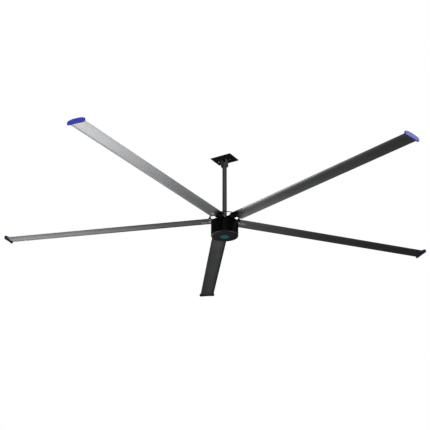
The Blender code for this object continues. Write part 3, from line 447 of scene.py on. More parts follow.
def around(reach, turn):
    """The flat place at a distance and an angle from the upright axis."""
    return (reach * cos(turn), reach * sin(turn))


def spin(work, geom, axis, angle, steps, merge=False):
    bmesh.ops.spin(work, geom=geom, cent=(0.0, 0.0, 0.0), axis=axis, angle=angle, steps=steps,
                   use_merge=merge, use_duplicate=False)


def turned(profile, steps, closed=True):
    """Turns a profile of (radius, height) about the upright axis to a new shape."""
    shape = bmesh.new()
    verts = [shape.verts.new((radius, 0.0, height)) for radius, height in profile]
    pairs = list(zip(verts, verts[1:])) + ([(verts[-1], verts[0])] if closed else [])
    edges = [shape.edges.new(pair) for pair in pairs]
    spin(shape, verts + edges, UPRIGHT, 2 * pi, steps, merge=True)
    bmesh.ops.remove_doubles(shape, verts=shape.verts, dist=0.000005)
    return shape


def weld_bead(length):
    """A rippled bead along +Z."""
    count = round(length / BEAD_RIPPLE)
    ripples = [(BEAD_RADIUS * (1.0 - BEAD_DIP * (index % 2)), length * (index + 0.5) / count)
               for index in range(count)]
    return turned([(0.0, 0.0)] + ripples + [(0.0, length)], 10, closed=False)


def make_clevis_bracket():
    low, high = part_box("clevis_bracket")
    base = bmesh.new()
    edges = rounded_box_edges(base, high.x - low.x, high.y - low.y, PLATE_CORNER)
    for side in (-1, 1):
        edges += circle_edges(base, M12_HOLE, (side * CLEVIS_BOLT_SPREAD, 0.0))
    thicken(base, edges, high.z, BRACKET_BASE)
    work = join(base)
    base_face = high.z - BRACKET_BASE
    half = EAR_WIDTH / 2
    top = base_face - HINGE_HEIGHT + EAR_SINK
    outline = [around(half, -pi * step / EAR_STEPS) for step in range(EAR_STEPS + 1)]
    outline += [(-half, top), (half, top)]
    turn_up = Matrix.Rotation(pi / 2, 4, "Z") @ Matrix.Rotation(pi / 2, 4, "X")
    for side in (-1, 1):
        ear = bmesh.new()
        edges = loop_edges(ear, outline) + circle_edges(ear, EAR_HOLE)
        thicken(ear, edges, EAR_OUTER - EAR_INNER, EAR_OUTER - EAR_INNER)
        inner = EAR_INNER if side > 0 else -EAR_OUTER
        absorb(work, ear, Matrix.Translation((inner, 0.0, HINGE_HEIGHT)) @ turn_up)
        for face_x in (EAR_INNER, EAR_OUTER):
            spot = Matrix.Translation((side * face_x, BEAD_INSET - half, base_face))
            bead = weld_bead(EAR_WIDTH - 2 * BEAD_INSET)
            absorb(work, bead, spot @ Matrix.Rotation(-pi / 2, 4, "X"))
    finish_node(work, "clevis_bracket", bracket_coat(base_face), "ceiling_mount")


make_clevis_bracket()

# Bolts of the ceiling mount
# Hexagon bolts: two M12 hold the bracket to the plate, and an M16 with its nut is the
# hinge that the fan swings on. Cold headed, threads rolled, zinc plated.
M12 = {"flats": 0.019, "head": 0.0075, "shank": 0.006}
M16 = {"flats": 0.024, "head": 0.010, "shank": 0.008}
HINGE_NUT = 0.013
THREAD_PITCH = 0.002
THREAD_CUT = 0.0009
CROWN = 0.475
HEX_STEPS = 48
ZINC_GREY = (0.038, 0.038, 0.0395)
DULL_EDGE = (0.55, 0.55, 0.55, 1.0)


def zinc_plated():
    material, place = new_finish("zinc_plated_steel")
    cloud = noise(place, 120.0, 5.0)
    spangle = add_node(place.tree, "ShaderNodeTexVoronoi", None, {"Vector": place, "Scale": 700.0})
    return dress(material, shades(ZINC_GREY, 0.22, cloud), cloud * 0.2 + spangle * 0.08 + 0.24,
                 {"Metallic": 1.0, "Specular Tint": DULL_EDGE})


ZINC = zinc_plated()


def hexagonal(part, flats, tops):
    """Pulls the rings that lie at half the width across flats out to a chamfered hexagon."""
    for vert in part.verts:
        radius = vert.co.xy.length
        if abs(radius - flats / 2) > 0.00002:
            continue
        angle = atan2(vert.co.y, vert.co.x)
        corner = flats / 2 / cos(angle % (pi / 3) - pi / 6)
        vert.co.x *= corner / radius
        vert.co.y *= corner / radius
        for top, way in tops:
            if abs(vert.co.z - top) < 0.0004:
                vert.co.z = top - way * (corner - CROWN * flats) * tan(pi / 6)
    return part


def thread_rings(radius, start, length):
    """Profile points of a rolled thread that runs down from a height."""
    rings = []
    for index in range(int(length / THREAD_PITCH)):
        height = start - index * THREAD_PITCH
        rings += [(radius, height - THREAD_PITCH * 0.1), (radius - THREAD_CUT, height - THREAD_PITCH * 0.6)]
    return rings


def hex_bolt(size, length, thread=0.004):
    """Head above zero, shank and the visible end of its thread below."""
    flats, head, shank = size["flats"], size["head"], size["shank"]
    profile = [(0.0, head - 0.0004), (0.3 * flats, head - 0.0004), (0.33 * flats, head)]
    profile += [(CROWN * flats, head), (flats / 2, head - 0.0001), (flats / 2, 0.0003)]
    profile += [(CROWN * flats, 0.0002), (CROWN * flats, 0.0), (shank, 0.0)]
    profile += thread_rings(shank, thread - length, thread)
    profile += [(shank - 0.001, -length), (0.0, -length)]
    return hexagonal(turned(profile, HEX_STEPS, closed=False), flats, [(head, 1)])


def hex_nut(size, height):
    flats, shank = size["flats"], size["shank"]
    profile = [(shank, height - 0.001), (shank + 0.001, height), (CROWN * flats, height)]
    profile += [(flats / 2, height - 0.0001), (flats / 2, 0.0001), (CROWN * flats, 0.0)]
    profile += [(shank + 0.001, 0.0), (shank, 0.001)]
    return hexagonal(turned(profile, HEX_STEPS), flats, [(height, 1), (0.0, -1)])


def fit_bolt(bolt, place, node, body):
    finish_node(join(bolt, place), node, ZINC, body)


HEAD_DOWN = Matrix.Rotation(pi, 4, "X")
ALONG_X = Matrix.Rotation(pi / 2, 4, "Y")


def make_mount_bolts():
    for side, node in ((-1, "clevis_bolt_left"), (1, "clevis_bolt_right")):
        low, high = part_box(node)
        spot = Matrix.Translation((side * CLEVIS_BOLT_SPREAD, 0.0, low.z + M12["head"]))
        fit_bolt(hex_bolt(M12, high.z - low.z - M12["head"]), spot @ HEAD_DOWN, node, "ceiling_mount")
    low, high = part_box("hinge_bolt")
    spot = Matrix.Translation((high.x - M16["head"], 0.0, HINGE_HEIGHT))
    bolt = hex_bolt(M16, high.x - low.x - M16["head"], thread=0.018)
    fit_bolt(bolt, spot @ ALONG_X, "hinge_bolt", "ceiling_mount")
    low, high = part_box("hinge_nut")
    fit_bolt(hex_nut(M16, HINGE_NUT), Matrix.Translation((low.x, 0.0, HINGE_HEIGHT)) @ ALONG_X,
             "hinge_nut", "ceiling_mount")


make_mount_bolts()

# Extension tube
# Two inch steel pipe, cut square at the top and welded into a round flange at its
# foot. Painted a dark grey, glossier than the bracket.
TUBE_WALL = 0.0039
TUBE_SIDES = 96
TUBE_GREY = (0.030, 0.030, 0.031)
TUBE_COAT = coated("dark_grey_paint", TUBE_GREY, 0.30, 0.20)


def softened(profile, radius, steps=3):
    """Rounds every corner of a closed profile of (radius, height) points."""
    rounded = []
    count = len(profile)
    for index, point in enumerate(profile):
        corner = Vector(point)
        before = Vector(profile[index - 1]) - corner
        after = Vector(profile[(index + 1) % count]) - corner
        cut = min(radius, before.length * 0.45, after.length * 0.45)
        start = corner + before.normalized() * cut
        end = corner + after.normalized() * cut
        for step in range(steps + 1):
            share = step / steps
            pull = start.lerp(corner, share).lerp(corner.lerp(end, share), share)
            rounded.append((max(pull.x, 0.0), pull.y))
    return rounded


def make_turned(node, profile, edge_break, steps, material, body):
    """Turns a closed profile with softened corners into the piece that stands for a node."""
    finish_node(turned(softened(profile, edge_break), steps), node, material, body)


def wall(outer, inner, low, high):
    """The profile of a plain ring."""
    return [(outer, high), (outer, low), (inner, low), (inner, high)]


def make_tube():
    low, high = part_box("extension_tube")
    profile = wall(high.x, high.x - TUBE_WALL, low.z, high.z)
    make_turned("extension_tube", profile, 0.0006, TUBE_SIDES, TUBE_COAT, "downtube")


make_tube()

# Lead grommet
# Moulded rubber bush pressed into the tube's open top, where the power lead goes in.
SEAT_GAP = 0.0003
GROMMET_BORE = 0.010
GROMMET_FLANGE = 0.0035
RUBBER_BLACK = (0.018, 0.018, 0.018)
RUBBER = coated("black_rubber", RUBBER_BLACK, 0.80, 0.3, grain=0.0003)


def make_grommet():
    low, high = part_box("lead_grommet")
    collar = high.z - GROMMET_FLANGE
    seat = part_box("extension_tube")[1].x - TUBE_WALL - SEAT_GAP
    profile = [(high.x, high.z), (high.x, collar), (seat, collar), (seat - 0.0004, low.z)]
    profile += [(GROMMET_BORE, low.z), (GROMMET_BORE, high.z)]
    make_turned("lead_grommet", profile, 0.0012, 64, RUBBER, "downtube")


make_grommet()

# Tube flange
# A round steel flange welded to the tube's foot and bolted to the motor shaft's
# flange with four M12 bolts. Painted with the tube.
FLANGE_BOLT_CIRCLE = 0.050
FLANGE_THICKNESS = 0.010
FLANGE_WELD = 0.0078
WELD_RIPPLES = 48
WELD_RIPPLE_SHARE = 0.008


def flange_bolt_spots():
    return [around(FLANGE_BOLT_CIRCLE, pi / 4 + pi / 2 * index) for index in range(4)]


def ring_weld(radius):
    """A rippled fillet weld round a pipe, standing on height zero."""
    reach = FLANGE_WELD
    fillet = [(radius, reach), (radius + reach * 0.35, reach * 0.72)]
    fillet += [(radius + reach * 0.72, reach * 0.35), (radius + reach, 0.0), (radius, 0.0)]
    weld = turned(fillet, 4 * WELD_RIPPLES)
    for vert in weld.verts:
        angle = atan2(vert.co.y, vert.co.x)
        if vert.co.xy.length > radius + 0.001 and vert.co.z > 0.0005:
            vert.co.xy *= 1.0 + WELD_RIPPLE_SHARE * sin(WELD_RIPPLES * angle)
    return weld


def make_tube_flange():
    low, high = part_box("tube_flange")
    tube_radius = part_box("extension_tube")[1].x
    plate = bmesh.new()
    edges = circle_edges(plate, high.x, segments=TUBE_SIDES)
    edges += circle_edges(plate, tube_radius - TUBE_WALL, segments=TUBE_SIDES)
    for spot in flange_bolt_spots():
        edges += circle_edges(plate, M12_HOLE, spot)
    top = low.z + FLANGE_THICKNESS
    thicken(plate, edges, top, FLANGE_THICKNESS)
    work = join(plate, Matrix(), ring_weld(tube_radius), Matrix.Translation((0.0, 0.0, top)))
    finish_node(work, "tube_flange", TUBE_COAT, "downtube")
    for index, spot in enumerate(flange_bolt_spots()):
        node = "flange_bolt_%d" % (index + 1)
        low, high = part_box(node)
        place = Matrix.Translation((*spot, high.z - M12["head"]))
        fit_bolt(hex_bolt(M12, high.z - low.z - M12["head"]), place, node, "downtube")


make_tube_flange()

# Motor shaft
# One steel forging that stands still: a top flange, two bearing seats, and the web
# and rim that carry the stator. Turned all over and oiled, with fine tool marks.
SHAFT_RADIUS = 0.030
SHOULDER_RADIUS = 0.034
SHAFT_BORE = 0.012
SHAFT_FLANGE = 0.010
SHAFT_FLANGE_RADIUS = 0.066
CARRIER_RADIUS = 0.112
CARRIER_RIM = 0.008
CARRIER_WEB = 0.014
MACHINED_GREY = (0.30, 0.30, 0.31)


def reach_and_height(place):
    """Distance from the upright axis, and height."""
    x, y, z = split(place)
    return (x * x + y * y) ** 0.5, z


def turned_metal(name, colour, roughness, line_pitch=0.0004):
    """Bare metal from the lathe: random fine lines that run round the upright axis."""
    material, place = new_finish(name)
    reach, height = reach_and_height(place)
    lines = add_node(place.tree, "ShaderNodeTexNoise", {"noise_dimensions": "1D"},
                     {"W": (reach + height) * (1 / line_pitch), "Scale": 1.0, "Detail": 3.0})
    return dress(material, shades(colour, 0.15, lines), lines * 0.16 + (roughness - 0.08),
                 {"Normal": relief(lines, 0.2, line_pitch / 10), "Metallic": 1.0})


MACHINED = turned_metal("machined_forging", MACHINED_GREY, 0.36)


def make_motor_shaft():
    low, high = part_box("motor_shaft")
    core_low, core_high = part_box("stator_core")
    web_top = (core_low.z + core_high.z + CARRIER_WEB) / 2
    web_bottom = web_top - CARRIER_WEB
    rim_inner = CARRIER_RADIUS - CARRIER_RIM
    flange_bottom = high.z - SHAFT_FLANGE
    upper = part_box("upper_bearing_inner_race")[0].z - SEAT_GAP
    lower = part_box("lower_bearing_inner_race")[1].z + SEAT_GAP
    profile = [(SHAFT_FLANGE_RADIUS, high.z), (SHAFT_FLANGE_RADIUS, flange_bottom)]
    profile += [(SHAFT_RADIUS, flange_bottom), (SHAFT_RADIUS, upper), (SHOULDER_RADIUS, upper)]
    profile += [(SHOULDER_RADIUS, web_top), (rim_inner, web_top), (rim_inner, core_high.z)]
    profile += [(CARRIER_RADIUS, core_high.z), (CARRIER_RADIUS, core_low.z), (rim_inner, core_low.z)]
    profile += [(rim_inner, web_bottom), (SHOULDER_RADIUS, web_bottom), (SHOULDER_RADIUS, lower)]
    profile += [(SHAFT_RADIUS, lower), (SHAFT_RADIUS, low.z), (SHAFT_BORE, low.z), (SHAFT_BORE, high.z)]
    make_turned("motor_shaft", profile, 0.0012, TUBE_SIDES, MACHINED, "downtube")


make_motor_shaft()

# Shaft nut
# A slotted round locknut that holds the lower bearing's inner race. Zinc plated.
NUT_SLOTS = 8
NUT_SLOT_DEPTH = 0.003
NUT_SLOT_ANGLE = radians(9.0)
NUT_WALL = 0.0085
NUT_STEPS = 6


def make_shaft_nut():
    low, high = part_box("shaft_nut")
    radius = SHAFT_RADIUS + NUT_WALL
    sweep = 2 * pi / NUT_SLOTS - 2 * NUT_SLOT_ANGLE
    points = []
    for index in range(NUT_SLOTS):
        start = 2 * pi * index / NUT_SLOTS
        points += [around(radius - NUT_SLOT_DEPTH, start + side * NUT_SLOT_ANGLE) for side in (-1, 1)]
        points += [around(radius, start + NUT_SLOT_ANGLE + sweep * step / NUT_STEPS)
                   for step in range(NUT_STEPS + 1)]
    work = bmesh.new()
    edges = loop_edges(work, points) + circle_edges(work, SHAFT_RADIUS + SEAT_GAP, segments=64)
    thicken(work, edges, high.z, high.z - low.z, 0.0005)
    finish_node(work, "shaft_nut", ZINC, "downtube")


make_shaft_nut()

# Bearings
# Two deep groove ball bearings, 60 x 95 x 18 mm. Hardened steel races ground in the
# grooves, ten polished balls each in a pressed cage that turns at its own speed.
BEARING_BORE = 0.0303
BEARING_RADIUS = 0.0475
RACE_THICKNESS = 0.0042
BALL_RADIUS = 0.005
BALL_COUNT = 10
CAGE_THICKNESS = 0.0030
CAGE_HEIGHT = 0.0060
GROOVE_CLEARANCE = 0.0003
GROOVE_STEPS = 10
RACE_EDGE = 0.0004
BEARING_GREY = (0.56, 0.56, 0.58)
RACE_STEEL = turned_metal("ground_bearing_steel", BEARING_GREY, 0.20, 0.0002)
PITCH_RADIUS = (BEARING_BORE + BEARING_RADIUS) / 2


def groove(land, side, middle):
    """Profile points of a race's round groove, top edge first. Side is 1 on the inner race."""
    depth = BALL_RADIUS + GROOVE_CLEARANCE
    half = acos(abs(PITCH_RADIUS - land) / depth)
    turns = [half * (1 - 2 * step / GROOVE_STEPS) for step in range(GROOVE_STEPS + 1)]
    return [(PITCH_RADIUS - side * depth * cos(turn), middle + depth * sin(turn)) for turn in turns]


def make_bearing(prefix, cage_body):
    low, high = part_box(prefix + "_inner_race")
    middle = (low.z + high.z) / 2
    land = BEARING_BORE + RACE_THICKNESS
    profile = [(land, high.z)] + groove(land, 1, middle)
    profile += [(land, low.z), (BEARING_BORE, low.z), (BEARING_BORE, high.z)]
    make_turned(prefix + "_inner_race", profile, RACE_EDGE, TUBE_SIDES, RACE_STEEL, "downtube")
    land = BEARING_RADIUS - RACE_THICKNESS
    profile = [(BEARING_RADIUS, high.z), (BEARING_RADIUS, low.z), (land, low.z)]
    profile += groove(land, -1, middle)[::-1] + [(land, high.z)]
    make_turned(prefix + "_outer_race", profile, RACE_EDGE, TUBE_SIDES, RACE_STEEL, "rotor")
    half = CAGE_THICKNESS / 2
    profile = wall(PITCH_RADIUS + half, PITCH_RADIUS - half, -CAGE_HEIGHT / 2, CAGE_HEIGHT / 2)
    cage = turned(softened(profile, 0.0008), TUBE_SIDES)
    work = join(cage, Matrix.Translation((0.0, 0.0, middle)))
    for index in range(BALL_COUNT):
        turn = Matrix.Rotation(2 * pi * index / BALL_COUNT, 4, "Z")
        ball = bmesh.new()
        bmesh.ops.create_uvsphere(ball, u_segments=24, v_segments=16, radius=BALL_RADIUS)
        absorb(work, ball, turn @ Matrix.Translation((PITCH_RADIUS, 0.0, middle)))
    finish_node(work, prefix + "_ball_cage", RACE_STEEL, cage_body)


make_bearing("upper_bearing", "upper_cage")
make_bearing("lower_bearing", "lower_cage")

# Stator core
# A stack of punched electrical steel sheets, half a millimetre each, shrunk on the
# shaft's rim. Twenty-four teeth carry the windings.
CORE_RADIUS = 0.161
TOOTH_COUNT = 24
TOOTH_DEPTH = 0.030
SLOT_WIDTH = 0.016
LAMINATION = 0.0005
CORE_GREY = (0.17, 0.17, 0.18)
TOOTH_STEPS = 5


def laminated():
    material, place = new_finish("laminated_core_steel")
    sheets = add_node(place.tree, "ShaderNodeMath", {"operation": "PINGPONG"},
                      {0: split(place)[2], 1: LAMINATION})
    cloud = noise(place, 60.0, 3.0)
    streaks = sheets * (0.6 / LAMINATION) + cloud * 0.4
    return dress(material, shades(CORE_GREY, 0.3, streaks), cloud * 0.2 + 0.42,
                 {"Normal": relief(sheets * (1 / LAMINATION), 0.5, 0.0001), "Metallic": 0.9})


def make_stator_core():
    low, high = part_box("stator_core")
    floor = CORE_RADIUS - TOOTH_DEPTH
    pitch = 2 * pi / TOOTH_COUNT
    wide = asin(SLOT_WIDTH / 2 / CORE_RADIUS)
    deep = asin(SLOT_WIDTH / 2 / floor)
    sweep = pitch - 2 * wide
    points = []
    for index in range(TOOTH_COUNT):
        centre = index * pitch
        points += [around(floor, centre + turn) for turn in (-deep, 0.0, deep)]
        points += [around(CORE_RADIUS, centre + wide + sweep * step / TOOTH_STEPS)
                   for step in range(TOOTH_STEPS + 1)]
    work = bmesh.new()
    edges = loop_edges(work, points)
    edges += circle_edges(work, CARRIER_RADIUS + SEAT_GAP, segments=TUBE_SIDES)
    thicken(work, edges, high.z, high.z - low.z, 0.0003)
    finish_node(work, "stator_core", laminated(), "downtube")


make_stator_core()

# End windings
# Enamelled copper wire wound round each tooth. The coils' heads stand above and below
# the core as round bundles, laced together.
COIL_RADIUS = 0.0080
COIL_HALF_WIDTH = 0.012
COIL_THICKNESS = 0.0065
COIL_CORNER = 0.0028
COIL_SPREAD = 1.32
COIL_STEPS = 12
CONNECTION_OUTER = 0.156
CONNECTION_INNER = 0.133
CONNECTION_HEIGHT = 0.006
CONNECTION_ROUND = 0.0022
WINDING_MIDDLE = 0.1445
COPPER_RED = (0.50, 0.17, 0.045)


def enamelled_copper():
    material, place = new_finish("enamelled_copper")
    outwards = add_node(place.tree, "ShaderNodeCombineXYZ", None, {"X": reach_and_height(place)[0]})
    wires = add_node(place.tree, "ShaderNodeTexWave", {"wave_type": "BANDS", "bands_direction": "X"},
                     {"Vector": outwards, "Scale": 320.0, "Distortion": 0.4})
    cloud = noise(place, 90.0, 3.0)
    return dress(material, shades(COPPER_RED, 0.3, wires * 0.6 + cloud * 0.4), cloud * 0.2 + 0.24,
                 {"Normal": relief(wires, 0.7, 0.0003), "Metallic": 0.85})


COPPER = enamelled_copper()


def make_end_winding(node, above):
    """One arch of wire over each tooth, on a low ring of the connections between them."""
    low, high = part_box(node)
    profile = wall(CONNECTION_OUTER, CONNECTION_INNER, 0.0, CONNECTION_HEIGHT)
    work = join(turned(softened(profile, CONNECTION_ROUND), TUBE_SIDES))
    rise = (high.z - low.z - 2 * SEAT_GAP) / (COIL_RADIUS + COIL_THICKNESS / 2)
    size = Matrix.Diagonal((1.0, COIL_SPREAD, rise, 1.0))
    for index in range(TOOTH_COUNT):
        coil = bmesh.new()
        edges = rounded_box_edges(coil, 2 * COIL_HALF_WIDTH, COIL_THICKNESS, COIL_CORNER,
                                  (0.0, COIL_RADIUS), 4)
        spin(coil, list(coil.verts) + edges, (1.0, 0.0, 0.0), pi, COIL_STEPS)
        bmesh.ops.holes_fill(coil, edges=coil.edges, sides=0)
        turn = Matrix.Rotation((index + 0.5) * 2 * pi / TOOTH_COUNT, 4, "Z")
        absorb(work, coil, turn @ Matrix.Translation((WINDING_MIDDLE, 0.0, 0.0)) @ size)
    if not above:
        bmesh.ops.scale(work, vec=(1.0, 1.0, -1.0), verts=work.verts)
    bmesh.ops.translate(work, verts=work.verts, vec=(0.0, 0.0, low.z if above else high.z))
    finish_node(work, node, COPPER, "downtube")


make_end_winding("upper_end_winding", True)
make_end_winding("lower_end_winding", False)

# Magnet ring
# Twenty-eight sintered magnets, nickel plated and glued side by side to the inside
# of the rotor's wall.
MAGNET_COUNT = 28
MAGNET_GAP = radians(0.7)
MAGNET_INNER = 0.1625
MAGNET_OUTER = 0.1705
MAGNET_EDGE = 0.0006
MAGNET_STEPS = 6
NICKEL = (0.34, 0.335, 0.33)


def nickel_plated():
    material, place = new_finish("nickel_plated_magnet")
    cloud = noise(place, 45.0, 6.0)
    return dress(material, shades(NICKEL, 0.15, cloud), cloud * 0.2 + 0.25,
                 {"Normal": relief(noise(place, 1500.0), 0.3, 0.0001), "Metallic": 1.0})


def make_magnets():
    low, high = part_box("magnet_ring")
    work = bmesh.new()
    pitch = 2 * pi / MAGNET_COUNT
    corners = wall(MAGNET_OUTER, MAGNET_INNER, low.z, high.z)
    for index in range(MAGNET_COUNT):
        block = bmesh.new()
        face = block.faces.new([block.verts.new((reach, 0.0, height)) for reach, height in corners])
        spin(block, [face], UPRIGHT, pitch - MAGNET_GAP, MAGNET_STEPS)
        bmesh.ops.recalc_face_normals(block, faces=block.faces)
        break_edges(block, block.edges, MAGNET_EDGE)
        absorb(work, block, Matrix.Rotation(index * pitch, 4, "Z"))
    finish_node(work, "magnet_ring", nickel_plated(), "rotor")


make_magnets()

# Rotor drum
# The outer rotor of the direct drive motor: a cast end bell, a side wall and a bottom
# cover with a rounded lip, die cast aluminium painted a deep black, held by screws.
DRUM_SIDES = 160
DRUM_RADIUS = 0.1786
DRUM_BORE = 0.1708
DRUM_BLACK = (0.0028, 0.0028, 0.0030)
PLATFORM_RADIUS = 0.125
BELL_WALL = 0.012
BELL_RIM_TOP = -0.916
BEARING_SEAT = 0.0478
BEARING_POCKET = 0.0588
SEAT_LIP = 0.004
SHAFT_HOLE_GAP = 0.002
LIP_ROUND = 0.016
LIP_STEPS = 16
COVER_WALL = 0.006
COVER_RIM = 0.0078
RIM_SCREWS = 10
RIM_SCREW_CIRCLE = 0.163
COVER_SCREWS = 8
COVER_SCREW_CIRCLE = 0.146
LIP_GLOSS = [(0.0, 0.045), (0.15, 0.03), (0.40, 0.50), (0.90, 0.50)]
DRUM_COAT = coated("black_painted_casting", DRUM_BLACK, 0.34, 0.012, grain=0.0006)


def cover_paint(bottom):
    """The drum's black, with gloss only where the lip turns up."""
    material, place = new_finish("black_painted_cover")
    cloud = noise(place, 14.0, 4.0)
    stops = [(spot, (level, level, level, 1.0)) for spot, level in LIP_GLOSS]
    gloss = add_node(place.tree, "ShaderNodeValToRGB", {"stops": stops},
                     {"Fac": (split(place)[2] - bottom) / LIP_ROUND})
    return dress(material, shades(DRUM_BLACK, 0.3, cloud), cloud * 0.2 + 0.35,
                 {"Normal": relief(noise(place, 700.0), 0.3, 0.0004), "Coat Weight": gloss,
                  "Coat Roughness": 0.30, "Specular IOR Level": 0.0})


def socket_screw(radius, height):
    """A cap screw's head with its socket, standing on height zero."""
    socket = radius * 0.55
    profile = [(0.0, height * 0.4), (socket, height * 0.4), (socket, height), (radius * 0.9, height)]
    profile += [(radius, height * 0.85), (radius, -height * 0.3), (0.0, -height * 0.3)]
    return turned(profile, 24, closed=False)


def screw_ring(work, count, circle, height, radius, rise, flip=False):
    for index in range(count):
        turn = Matrix.Rotation(2 * pi * (index + 0.5) / count, 4, "Z")
        spot = turn @ Matrix.Translation((circle, 0.0, height))
        absorb(work, socket_screw(radius, rise), spot @ HEAD_DOWN if flip else spot)


def make_end_bell():
    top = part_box("top_end_bell")[1].z
    rim_bottom = BELL_RIM_TOP - BELL_WALL
    race_low, race_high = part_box("upper_bearing_outer_race")
    seat_top = race_high.z + SEAT_GAP
    hole = SHAFT_RADIUS + SHAFT_HOLE_GAP
    profile = [(PLATFORM_RADIUS, top), (PLATFORM_RADIUS + top - BELL_RIM_TOP, BELL_RIM_TOP)]
    profile += [(DRUM_RADIUS, BELL_RIM_TOP), (DRUM_RADIUS, rim_bottom), (PLATFORM_RADIUS, rim_bottom)]
    profile += [(PLATFORM_RADIUS - BELL_WALL, top - BELL_WALL), (BEARING_POCKET, top - BELL_WALL)]
    profile += [(BEARING_POCKET, race_low.z), (BEARING_SEAT, race_low.z), (BEARING_SEAT, seat_top)]
    profile += [(hole, seat_top), (hole, top)]
    work = join(turned(softened(profile, 0.0020), DRUM_SIDES))
    screw_ring(work, RIM_SCREWS, RIM_SCREW_CIRCLE, BELL_RIM_TOP, 0.0045, 0.0045)
    finish_node(work, "top_end_bell", DRUM_COAT, "rotor")


def make_housing():
    low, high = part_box("rotor_housing")
    profile = wall(DRUM_RADIUS, DRUM_BORE, low.z, high.z)
    make_turned("rotor_housing", profile, 0.0010, DRUM_SIDES, DRUM_COAT, "rotor")


def make_cover():
    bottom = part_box("bottom_cover")[0].z
    race_low, race_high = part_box("lower_bearing_outer_race")
    seat = race_low.z - SEAT_GAP
    ledge = BEARING_SEAT - SEAT_LIP
    top = bottom + LIP_ROUND
    plate = bottom + COVER_WALL
    rim = DRUM_RADIUS - COVER_RIM
    centre = DRUM_RADIUS - LIP_ROUND
    turns = [pi / 2 * step / LIP_STEPS for step in range(LIP_STEPS, -1, -1)]
    lip = [(centre + LIP_ROUND * cos(turn), top - LIP_ROUND * sin(turn)) for turn in turns]
    profile = [(0.0, bottom)] + lip + [(rim, top), (rim - COVER_RIM, plate), (BEARING_POCKET, plate)]
    profile += [(BEARING_POCKET, race_high.z), (BEARING_SEAT, race_high.z), (BEARING_SEAT, seat)]
    profile += [(ledge, seat), (ledge, plate), (0.0, plate)]
    work = join(turned(profile, DRUM_SIDES, closed=False))
    screw_ring(work, COVER_SCREWS, COVER_SCREW_CIRCLE, bottom, 0.0040, 0.0012, flip=True)
    finish_node(work, "bottom_cover", cover_paint(bottom), "rotor")


make_end_bell()
make_housing()
make_cover()

# Badge disc
# A plain moulded disc snapped to the middle of the cover. Glossy teal plastic with a
# fine rim.
TEAL = (0.013, 0.122, 0.147)
BADGE_RADIUS = 0.059


def moulded(name, colour, roughness, specular):
    """Moulded plastic: a faint flow pattern in the colour and a fine grain in the gloss."""
    material, place = new_finish(name)
    flow = noise(place, 16.0, 3.0, 1.5)
    return dress(material, shades(colour, 0.08, flow), flow * 0.12 + (roughness - 0.06),
                 {"Normal": relief(noise(place, 1400.0), 0.25, 0.0002), "Specular IOR Level": specular})


def make_badge():
    low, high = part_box("badge_disc")
    profile = [(0.0, high.z), (BADGE_RADIUS - 0.0006, high.z), (BADGE_RADIUS, high.z - 0.0006)]
    profile += [(BADGE_RADIUS, low.z + 0.0010), (BADGE_RADIUS - 0.0010, low.z)]
    profile += [(BADGE_RADIUS - 0.0030, low.z), (BADGE_RADIUS - 0.0040, low.z + 0.0008)]
    disc = turned(profile + [(0.0, low.z + 0.0004)], DRUM_SIDES, closed=False)
    plastic = moulded("teal_moulded_plastic", TEAL, 0.16, 0.005)
    finish_node(disc, "badge_disc", plastic, "rotor")


make_badge()

# Blades
# Extruded aluminium aerofoils with three hollow cells, anodised dark. Each slides over
# its strut at the root and is closed by a plastic cap at the tip.
BLADE_ANGLES = [radians(-90 + 72 * index) for index in range(5)]
BLADE_ROOT = 0.195
BLADE_TIP = 3.0347
BLADE_CHORD = 0.210
BLADE_THICKNESS = 0.0235
BLADE_CAMBER = 0.0092
BLADE_WALL = 0.0024
CAMBER_CREST = 0.42
TRAILING_EDGE = 0.0024
RISE_START = 0.42
RISE_SLOPE = 0.24
FLAT_SLOPE = 0.038
BLADE_TRAIL = 0.016
BLADE_PITCH = radians(3.8)
SECTION_STEPS = 44
CELL_STEPS = 12
FRONT_CELL_SHARE = 0.03
REAR_CELL_SHARE = 0.90
STRUT_HALF = 0.028
STRUT_THICKNESS = 0.013
STRUT_TOP = BLADE_CAMBER + STRUT_THICKNESS / 2
BLADE_COLOUR = (0.0430, 0.0434, 0.0438)
EDGE_TINT = 0.2872
BLADE_ROUGHNESS = 0.335


def half_thickness(share):
    curve = 0.2969 * sqrt(share) - 0.1260 * share - 0.3516 * share**2
    curve += 0.2843 * share**3 - 0.1036 * share**4
    return BLADE_THICKNESS * curve / 0.2 + TRAILING_EDGE / 2 * share


def camber_height(share):
    if share < CAMBER_CREST:
        return BLADE_CAMBER * (2 * CAMBER_CREST * share - share**2) / CAMBER_CREST**2
    rest = 1 - 2 * CAMBER_CREST + 2 * CAMBER_CREST * share - share**2
    return BLADE_CAMBER * rest / (1 - CAMBER_CREST) ** 2


def upper_skin(share):
    return camber_height(share) + half_thickness(share)


def lower_skin(share):
    """The section's underside. It rises in an even curve from its middle to the nose."""
    if share >= RISE_START:
        return camber_height(share) - half_thickness(share)
    start = camber_height(RISE_START) - half_thickness(RISE_START)
    reach = RISE_START - share
    rise = BLADE_CHORD * (RISE_SLOPE * reach**4 / (4 * RISE_START**3) - FLAT_SLOPE * reach)
    return max(start + rise, camber_height(share) - half_thickness(share))


def share_at(across):
    """Place along the chord, 0 at the nose and 1 at the tail, from a distance to the nose side."""
    return 0.5 - (across + BLADE_TRAIL) / BLADE_CHORD


def across_at(share):
    return BLADE_CHORD * (0.5 - share) - BLADE_TRAIL


def arm_frame(angle):
    return Matrix.Translation((0.0, 0.0, HUB_HEIGHT)) @ Matrix.Rotation(angle, 4, "Z")


def blade_frame(angle):
    """Turns section coordinates (along the arm, towards the tail, up) into place."""
    return arm_frame(angle) @ Matrix.Rotation(-BLADE_PITCH, 4, "X")


